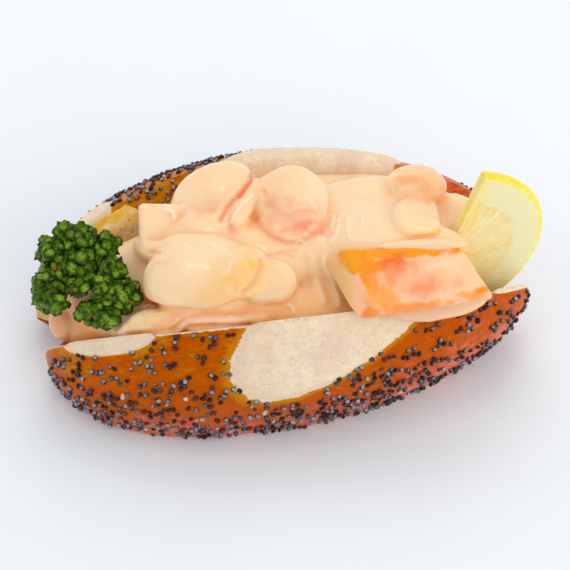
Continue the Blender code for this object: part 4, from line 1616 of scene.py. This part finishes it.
    def flood(self, salad: Piece) -> None:
        """Lets the sauce fill the gaps between the lumps and round off their tops.

        Args:
            salad: The salad.
        """
        lumpy, out = salad.points(), salad.normals()
        salad.apply("SMOOTH", iterations=320, factor=0.5)
        level = np.einsum("ij,ij->i", salad.points() - lumpy, out)
        level = np.where(level > 0, level * 0.95, np.maximum(level * 0.75, -3.0 * MM))
        salad.move(lumpy + out * np.minimum(level, 7 * MM)[:, None])
        salad.apply("SMOOTH", iterations=12, factor=0.5)


@dataclass
class SurimiSlab:
    """The squared slab of surimi on top."""

    top: tuple[Triple, ...] = ((12.8, -16.3, 51.5), (45.7, -19.3, 50.5), (53, -32, 43), (20, -35, 44.5))
    depths: tuple[float, ...] = (8, 8, 3.5, 3.5)
    end_slope: float = 5
    ground: Colour = (0.98, 0.53, 0.30)
    spots: tuple[Spot, ...] = (
        Spot((10.5, -23, 46), (5.0, 16, 8), (0.86, 0.54, 0.22), 0.95, 0.25, 0.08, -14),
        Spot((47, -24, 47), (9, 9, 6), (0.98, 0.60, 0.32), 0.8, 0.5, 0.2),
        Spot((29, -18.9, 50.4), (18, 1.5, 3), (0.92, 0.31, 0.002), 1.0, 0.25, 0.45, -5),
        Spot((17.6, -20.4, 50.1), (6.2, 3.2, 3), (0.90, 0.33, 0.002), 1.0, 0.2, 0.5, -22),
        Spot((19.4, -24.6, 48.8), (2.2, 5.4, 4), (0.92, 0.27, 0.003), 1.0, 0.3, 0.6, 8),
        Spot((26.8, -22.6, 49), (5.4, 3.2, 3), (0.90, 0.15, 0.001), 1.0, 0.4, 0.4),
        Spot((25.4, -25.0, 48), (1.7, 2.9, 3), (0.91, 0.20, 0.005), 1.0, 0.5, 0.4),
        Spot((34.6, -28.4, 46.3), (3.4, 2.2, 3), (0.94, 0.14, 0.04), 0.95, 0.8, 0.5),
        Spot((30.8, -26.2, 47.3), (8.0, 4.5, 3), (0.97, 0.44, 0.24), 0.7, 0.8, 0.4),
        Spot((31.0, -29.5, 46.5), (2.5, 1.2, 3), (0.96, 0.28, 0.14), 0.6, 0.8, 0.7),
        Spot((43.2, -28.2, 45.8), (1.8, 1.4, 3), (0.96, 0.34, 0.24), 0.6, 0.8, 0.5),
        Spot((21.5, -30.5, 45.8), (4.2, 4.2, 3), (0.94, 0.33, 0.05), 0.9, 0.6, 0.8),
        Spot((31, -33.6, 44), (19, 1.3, 2.2), (0.93, 0.27, 0.03), 0.9, 0.5, 0.7),
        Spot((50.0, -30.3, 44.0), (3.6, 1.0, 2), (0.93, 0.26, 0.005), 1.0, 0.5, 0.3, 12),
        Spot((46.4, -31.6, 43.8), (4.2, 0.9, 2), (0.93, 0.34, 0.06), 0.9, 0.6, 0.3, -10),
    )
    lines: tuple[Line, ...] = (
        Line((20.5, -26, 48), (20.5, -31.5, 46), 1.2, -0.3, (0.95, 0.36, 0.04), 0.6, -1.5),
        Line((36, -24, 48.5), (44, -24.5, 48.0), 1.2, 0.2, (0.99, 0.68, 0.46), 0.5, 0.8),
    )

    def build(self) -> Piece:
        """Builds the slab.

        Returns:
            The finished piece.
        """
        Piece.clear()
        bpy.ops.mesh.primitive_cube_add(size=2)
        slab = Piece("surimi_slab_sauced")
        top = [Vector(corner) for corner in self.top]
        down = (top[1] - top[0]).cross(top[3] - top[0]).normalized()
        low = [corner + down * depth for corner, depth in zip(top, self.depths)]
        for k in (0, 3):
            low[k].x -= self.end_slope
        places = []
        for vertex in slab.points():
            corner = {(-1, 1): 0, (1, 1): 1, (1, -1): 2, (-1, -1): 3}[(int(vertex[0]), int(vertex[1]))]
            places.append((top if vertex[2] > 0 else low)[corner] * MM)
        slab.move(np.array(places))
        slab.edit(
            lambda: bpy.ops.mesh.normals_make_consistent(inside=False),
            lambda: bpy.ops.mesh.bevel(offset=0.9 * MM, segments=3, affect="EDGES"),
        )
        slab.apply("REMESH", mode="VOXEL", voxel_size=0.27 * MM)
        slab.apply("SMOOTH", iterations=9, factor=0.5)
        at = slab.points()
        slab.swell((waves(at, 8 * MM, 3.0) * 0.45 + waves(at, 3 * MM, 4.0) * 0.10) * MM)
        Relief(self.ground, self.spots, (), self.lines).dress(slab)
        slab.smooth()
        slab.hand_in(SauceFinish("sauced_surimi", 0.7, 0.06, 0.55).make(), "surimi_slab")
        return slab


# ---------------------------------------------------------------------------------------------
# The garnish
# ---------------------------------------------------------------------------------------------


@dataclass(frozen=True)
class LemonFinish:
    """Zest, pith, membranes and juicy pulp."""

    zest: Colour = (0.82, 0.63, 0.004)
    zest_inner: Colour = (0.86, 0.74, 0.10)
    pith: Colour = (0.79, 0.75, 0.42)
    pulp: Colour = (0.88, 0.71, 0.30)
    pulp_deep: Colour = (0.83, 0.62, 0.20)

    def make(self) -> bpy.types.Material:
        """Builds the finish.

        Returns:
            The material. It reads depth (millimetres in from the rind's outside), pulp (millimetres in
            from the pulp's edge), web (millimetres from a membrane), ray and reach (round the core and
            out from it), stain (where it is deep yellow by the cut) and side (1 on the straight cut, which is
            darkened there as painted shade).
        """
        g = Graph("lemon_flesh_and_rind")
        depth = g.sum(g.read("depth"), g.sway(1.3, 2, 0.5))
        rind = g.ramp(g.span(depth, 0.2, 3.4), [(0.0, self.zest), (0.26, self.zest_inner), (0.6, self.pith)])
        ray = g.node("CombineXYZ", {0: g.read("ray"), 1: g.read("reach")}).outputs[0]
        streaks = g.noise(1 / MM, 2, ray)
        flesh = g.blend(g.span(streaks, 0.38, 0.62), self.pulp_deep, self.pulp)
        flesh = g.mottle(flesh, self.pith, 7, 2, (0.35, 0.65), 0.5)
        web = g.sum(g.read("web"), g.sway(2, 2, 0.15))
        flesh = g.blend(g.span(web, 0.5, 0.12, 0.0, 0.6), flesh, (0.92, 0.80, 0.42))
        inside = g.span(g.sum(g.read("pulp"), g.sway(2, 2, 0.7)), -0.6, 0.6)
        stain = g.sum(g.read("stain"), g.sway(3, 2, 0.2), clamp=True)
        body = g.blend(g.times(stain, 0.45), g.blend(inside, rind, flesh), (0.90, 0.66, 0.08))
        g.set(
            # Painted shade: the straight cut face is darkened.
            Base_Color=g.blend(g.times(g.read("side"), 0.35), body, (0.82, 0.64, 0.20)),
            Roughness=g.span(inside, 0.0, 1.0, 0.42, 0.18),
            Subsurface_Weight=0.5,
            Subsurface_Radius=(1.0, 0.9, 0.35),
            Subsurface_Scale=3.0 * MM,
            Coat_Weight=0.4,
            Coat_Roughness=0.12,
            Normal=g.bump(streaks, 0.35, 0.5),
        )
        return g.material


@dataclass
class LemonSlice:
    """Half a round slice of lemon, standing on edge. Sizes in millimetres."""

    radius: float = 29.2
    thickness: float = 3.0
    middle: Triple = (44.3, -13, 40.3)
    cut: Vector = field(default_factory=lambda: Vector((0.305, 0.075, 0.95)).normalized())
    rindward: Vector = field(default_factory=lambda: Vector((0.937, 0.148, -0.312)))
    pulp_radius: float = 19.6
    core: tuple[float, float] = (-8.0, -1.0)
    web_angles: tuple[float, ...] = (24, 45, 66, 91, 118)
    columns: int = 140
    rows: int = 64
    face_end: float = 0.44

    def build(self) -> Piece:
        """Builds the slice from a grid: columns round it, rows out across its face and over the rim.

        Returns:
            The finished piece.
        """
        facing = self.rindward.cross(self.cut).normalized()
        out = self.cut.cross(facing)
        piece = Piece.grid("lemon_half_slice", self.columns, self.rows)
        at = piece.points()
        angle = at[:, 0] * math.pi
        row = at[:, 1]
        half = self.thickness / 2
        first, last = self.face_end, 1 - self.face_end
        face = smooth_step(0.0, first, row) ** 0.8
        back = smooth_step(1.0, last, row) ** 0.8
        turn = np.clip((row - first) / 0.12, 0, 1) * math.pi
        reach = np.where(row < first, face, np.where(row > last, back, 1.0)) * (self.radius - half)
        deep = np.where(row < first, 0, np.where(row > last, self.thickness, half * (1 - np.cos(turn))))
        rim = np.where((row >= first) & (row <= last), half * np.sin(turn), 0)
        span = reach + rim
        along, across = np.cos(angle) * span, np.sin(angle) * span
        flat = np.stack([along, across, np.zeros_like(along)], axis=1)
        in_pulp = self.pulp_radius + 0.7 * waves(flat, 6.0, 4.0) - span
        sunk = smooth_step(-0.5, 1.2, in_pulp) * (0.25 + 0.25 * waves(flat, 2.4, 2.0))
        sign = np.where(row <= 0.5, 1.0, -1.0)
        places = (
            np.array(self.middle)
            + along[:, None] * np.array(self.cut)
            + across[:, None] * np.array(out)
            - (deep + sunk * sign * (rim == 0))[:, None] * np.array(facing)
        )
        piece.move(places * MM)
        from_core = np.stack([along - self.core[0], across - self.core[1]], axis=1)
        polar = np.degrees(np.arctan2(from_core[:, 1], from_core[:, 0]))
        size = np.linalg.norm(from_core, axis=1)
        by_cut = np.where(angle < math.pi / 2, across, 99)
        marks = {
            "depth": self.radius - span,
            "pulp": in_pulp,
            "web": np.min([np.abs(np.radians(polar - a)) * size for a in self.web_angles], axis=0),
            "ray": polar * 0.35,
            "reach": size * 0.12,
            # Where painted shade darkens the straight cut face.
            "side": smooth_step(1.2, 0.0, across),
            "stain": smooth_step(5.5, 2.0, by_cut) * smooth_step(8, 14, along) * smooth_step(30, 26, along),
        }
        for name, values in marks.items():
            piece.mark(name, values)
        piece.seal(0.03 * MM)
        piece.smooth(60)
        piece.hand_in(LemonFinish().make(), "lemon_slice")
        return piece


@dataclass(frozen=True)
class LeafFinish:
    """Curly parsley: satin mid-green, with painted shade in its folds and painted light on the leaflets'
    middles, and a few brown tips.
    """

    # The tone runs from deep, painted shade, to light, the painted lit middle of a leaflet.
    light: Colour = (0.24, 0.39, 0.030)
    middle: Colour = (0.055, 0.125, 0.0005)
    deep: Colour = (0.004, 0.018, 0.0005)

    def make(self) -> bpy.types.Material:
        """Builds the finish.

        Returns:
            The material. It reads tone, which paints shade and light: from 0 in the folds to 1 at the rim.
        """
        g = Graph("parsley_leaf")
        tone = g.sum(g.read("tone"), g.sway(1.1, 3, 0.15))
        green = g.ramp(tone, [(0.0, self.deep), (0.55, self.middle), (1.0, self.light)])
        g.set(
            Base_Color=g.mottle(green, (0.26, 0.085, 0.012), 2.6, 2, (0.64, 0.69), 0.8),
            Roughness=0.26,
            Specular_IOR_Level=0.42,
            Specular_Tint=(0.75, 1.0, 0.30),
            Subsurface_Weight=0.03,
            Subsurface_Radius=(0.5, 1.0, 0.2),
            Subsurface_Scale=0.8 * MM,
            Normal=g.bump(g.noise(0.6, 2), 0.12, 0.6),
        )
        return g.material


@dataclass
class ParsleySprig:
    """A sprig of curly parsley. Sizes in millimetres."""

    top: Vector = field(default_factory=lambda: Vector((-55.5, -9, 42)))
    foot: Vector = field(default_factory=lambda: Vector((-53, -4, 24)))
    facing: float = 55
    seed: int = 5
    spacing: float = 1.66
    leaf: float = 2.35
    tries: float = 6
    squeezes: tuple[tuple[float, float], ...] = ((0.85, 1.15), (0.85, 1.2), (0.8, 1.3))
    stalk_radius: float = 1.1
    twig_radius: float = 0.8
    tufts: dict[str, tuple[Triple, tuple[float, float]]] = field(
        default_factory=lambda: {
            "top": ((-5.5, 13.3, -0.5), (2.9, 2.9)),
            "top_left": ((-9.6, 8.5, -0.5), (4.1, 4.0)),
            "top_middle": ((-0.3, 11, 0.5), (3.4, 4.2)),
            "top_right": ((5.1, 8.7, 0), (3.4, 3.0)),
            "inner_left": ((-8.6, 3.4, 0), (3.0, 3.5)),
            "centre": ((-1.6, 3.2, 2), (3.6, 4.4)),
            "left": ((-11.4, -1.8, -0.5), (4.6, 6.2)),
            "right": ((5.4, 2.0, 1), (4.7, 3.3)),
            "middle_low": ((-4.1, -1.4, 1), (3.3, 3.2)),
            "low_right": ((7.3, -5.2, 0), (6.6, 4.1)),
            "low": ((1.8, -9.6, 0), (5.6, 4.3)),
            "bridge_top": ((-4.6, 8.6, -0.5), (3.2, 3.2)),
            "bridge_right": ((2.2, 5.4, 0), (3.0, 3.2)),
            "bridge_low": ((3.2, -2.2, 0.5), (3.2, 3.4)),
            "bridge_foot": ((4.6, -7.8, 0), (3.2, 2.8)),
        }
    )

    def leaflet(self) -> tuple[Array, Array, Array]:
        """Models one cupped leaflet from -1 to 1 along X that faces +Z.

        Returns:
            Its vertices, its faces, and the tone at each vertex: painted shade at the rim and along the
            midrib, painted light in the middle.
        """
        leaf = Piece.grid("leaflet", 8, 7)
        at = leaf.points()
        u, v = at[:, 0] * 2 - 1, at[:, 1] * 2 - 1
        width = 0.80 * np.sqrt(np.clip(1 - (0.98 * u) ** 2, 0, 1)) * (1 - 0.22 * u)
        width = width * (1 + 0.30 * np.cos(8 * u + 1.0) * np.abs(v))
        frill = 0.10 * np.sin(6 * u + 2.2 * np.sign(v)) * v**2
        z = -0.30 * u**2 - 0.42 * v**2 - 0.18 * np.exp(-((v / 0.22) ** 2)) + frill
        leaf.move(np.stack([u, v * width, z], axis=1))
        leaf.apply("SOLIDIFY", thickness=0.10, offset=0)
        leaf.edit(lambda: bpy.ops.mesh.quads_convert_to_tris())
        at, faces = leaf.points(), leaf.faces()
        rim = at[:, 0] ** 2 + (at[:, 1] / 0.62) ** 2
        # Painted shade at the rim and along the midrib, painted light in the middle.
        tone = np.clip(0.95 - 0.80 * rim**1.5 - 0.20 * np.exp(-((at[:, 1] / 0.12) ** 2)), 0, 1)
        bpy.data.objects.remove(leaf.object)
        return at, faces, tone

    def stalk(self, start: Vector, end: Vector, radius: float) -> Piece:
        """Adds a round stalk.

        Args:
            start: One end.
            end: The other.
            radius: Its radius.

        Returns:
            The stalk.
        """
        Piece.clear()
        axis = end - start
        turn = axis.to_track_quat("Z", "Y").to_euler()
        bpy.ops.mesh.primitive_cone_add(
            vertices=8, radius1=radius * MM, radius2=radius * 0.75 * MM, depth=axis.length * MM,
            location=(start + end) / 2 * MM, rotation=turn,
        )
        bpy.ops.object.transform_apply(location=True, rotation=True, scale=True)
        piece = Piece("stalk")
        piece.edit(lambda: bpy.ops.mesh.subdivide(number_cuts=1))
        return piece

    def build(self, covers: list[Piece]) -> Piece:
        """Builds the sprig.

        Args:
            covers: Pieces that the leaflets keep clear of.

        Returns:
            The finished piece.
        """
        draw = random.Random(self.seed)
        surfaces = Covers(covers)
        angle = math.radians(self.facing)
        right = Vector((1, 0, 0))
        front = Vector((0, -math.cos(angle), math.sin(angle)))
        up = front.cross(right)
        kernel, faces, tone = self.leaflet()
        stalks = [self.stalk(self.foot, self.top, self.stalk_radius)]
        verts: list[Array] = []
        tones: list[Array] = []
        kept: list[Vector] = []
        for (across, rise, forward), (width, height) in self.tufts.values():
            middle = self.top + right * across + up * rise + front * forward
            stalks.append(self.stalk(self.top, middle, self.twig_radius))
            for _ in range(round(math.pi * width * height * self.tries)):
                out = Vector([draw.gauss(0, 1) for _ in range(3)]).normalized()
                reach = draw.uniform(0.2, 1.0) ** 0.5 * draw.uniform(0.95, 1.10)
                thick = 0.8 * min(width, height)
                offset = right * out.dot(right) * width + up * out.dot(up) * height
                place = middle + (offset + front * out.dot(front) * thick) * reach
                size = self.leaf * draw.choice((0.7, 0.85, 1.0, 1.15, 1.3))
                if any((place - other).length < self.spacing * size / self.leaf for other in kept):
                    continue
                if surfaces.near(place * MM, size * 0.7 * MM):
                    continue
                kept.append(place)
                normal = out * 0.7 + front * 0.8 + up * draw.gauss(0, 0.35) + right * draw.gauss(0, 0.35)
                normal.normalize()
                along = out + right * draw.gauss(0, 0.5) + up * draw.gauss(0, 0.5)
                along = (along - normal * along.dot(normal)).normalized()
                lie = np.array((along, normal.cross(along), normal))
                squeeze = np.array([draw.uniform(*ends) for ends in self.squeezes])
                verts.append((kernel * squeeze) @ lie * size * MM + np.array(place) * MM)
                # Random tone, with painted shade that darkens the leaflets deep inside a tuft.
                tones.append(tone * draw.uniform(0.6, 1.15) * (0.25 + 0.75 * min(reach, 1.0)))
        sprig = Piece.grid("parsley_leaves", 2, 2)
        sprig.repeat(verts, faces)
        sprig.mark("tone", np.concatenate(tones))
        for stalk in stalks:
            stalk.mark("tone", np.full(len(stalk.object.data.vertices), 0.55))
        sprig.join(stalks)
        sprig.smooth(55)
        sprig.hand_in(LeafFinish().make(), "parsley_sprig")
        return sprig


# ---------------------------------------------------------------------------------------------
# The studio
# ---------------------------------------------------------------------------------------------


@dataclass
class Studio:
    """A pale floor, soft light and the camera."""

    azimuth: float = -8.3
    elevation: float = 50.0
    lens: float = 100.0
    distance: float = 0.465
    target: Vector = field(default_factory=lambda: Vector((0, 0, 0.0191)))
    floor: Colour = (0.842, 0.871, 0.890)
    sky: Colour = (0.93, 0.96, 1.0)
    sky_strength: float = 0.76
    lamps: tuple[tuple[str, Triple, float, float, Colour, bool], ...] = (
        ("key", (0.15, 0.60, 0.80), 0.60, 2.6, (1.0, 1.0, 0.99), False),
        ("right", (0.95, -0.35, 0.24), 0.60, 3.6, (1.0, 1.0, 1.0), False),
        ("left", (-0.95, 0.10, 0.30), 0.60, 1.4, (1.0, 1.0, 1.0), False),
        ("glint", (-0.10, 0.05, 0.90), 0.09, 0.22, (1.0, 1.0, 1.0), True),
        ("fill", (0.25, -0.95, 0.55), 0.80, 2.0, (1.0, 1.0, 1.0), False),
    )

    def back(self) -> Vector:
        """The direction from the target to the camera."""
        a, e = math.radians(self.azimuth), math.radians(self.elevation)
        return Vector((math.sin(a) * math.cos(e), -math.cos(a) * math.cos(e), math.sin(e)))

    def camera(self) -> None:
        """Sets up the camera."""
        data = bpy.data.cameras.new("camera")
        data.lens = self.lens
        data.clip_start = 0.01
        camera = bpy.data.objects.new("camera", data)
        camera.location = self.target + self.back() * self.distance
        camera.rotation_euler = (-self.back()).to_track_quat("-Z", "Y").to_euler()
        bpy.context.scene.collection.objects.link(camera)
        bpy.context.scene.camera = camera

    def lay_floor(self) -> None:
        """Lays the floor."""
        Piece.clear()
        bpy.ops.mesh.primitive_plane_add(size=6)
        floor = Piece("floor")
        g = Graph("pale_floor")
        shade = g.mottle(self.floor, tuple(c * 0.99 for c in self.floor), 50, 2, (0.3, 0.7))
        g.set(Base_Color=shade, Roughness=0.9, Specular_IOR_Level=0.1)
        floor.object.data.materials.append(g.material)

    def lamp(self, name: str, place: Triple, size: float, watts: float, colour: Colour, shiny: bool) -> None:
        """Hangs a soft square light that looks at the sandwich.

        Args:
            name: Its name.
            place: Where it hangs, in metres.
            size: Its side in metres.
            watts: Its power.
            colour: Its colour.
            shiny: Whether it makes highlights.
        """
        data = bpy.data.lights.new(name, "AREA")
        data.size = size
        data.energy = watts
        data.color = colour
        lamp = bpy.data.objects.new(name, data)
        lamp.location = place
        lamp.visible_glossy = shiny
        lamp.rotation_euler = (Vector((0, 0, 0.02)) - Vector(place)).to_track_quat("-Z", "Y").to_euler()
        bpy.context.scene.collection.objects.link(lamp)

    def light(self) -> None:
        """Sets up the lights and the sky."""
        for lamp in self.lamps:
            self.lamp(*lamp)
        world = bpy.data.worlds.new("studio")
        world.use_nodes = True
        shade = world.node_tree.nodes["Background"]
        shade.inputs["Color"].default_value = (*self.sky, 1)
        shade.inputs["Strength"].default_value = self.sky_strength
        bpy.context.scene.world = world
        bpy.context.scene.view_settings.view_transform = "Standard"

    def build(self) -> None:
        """Builds the studio."""
        self.camera()
        self.lay_floor()
        self.light()


def main() -> None:
    """Builds the sandwich and its studio."""
    noise.seed_set(NOISE_SEED)
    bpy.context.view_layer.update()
    Studio().build()
    shape = RollShape()
    bread = Bread(shape).build()
    salad = SurimiSalad().build()
    slab = SurimiSlab().build()
    lemon = LemonSlice().build()
    ParsleySprig().build([salad, *bread])
    PoppySeeds(shape).build([salad, slab, lemon])


if __name__ == "__main__":
    logging.basicConfig(level=logging.INFO, format="%(message)s")
    main()
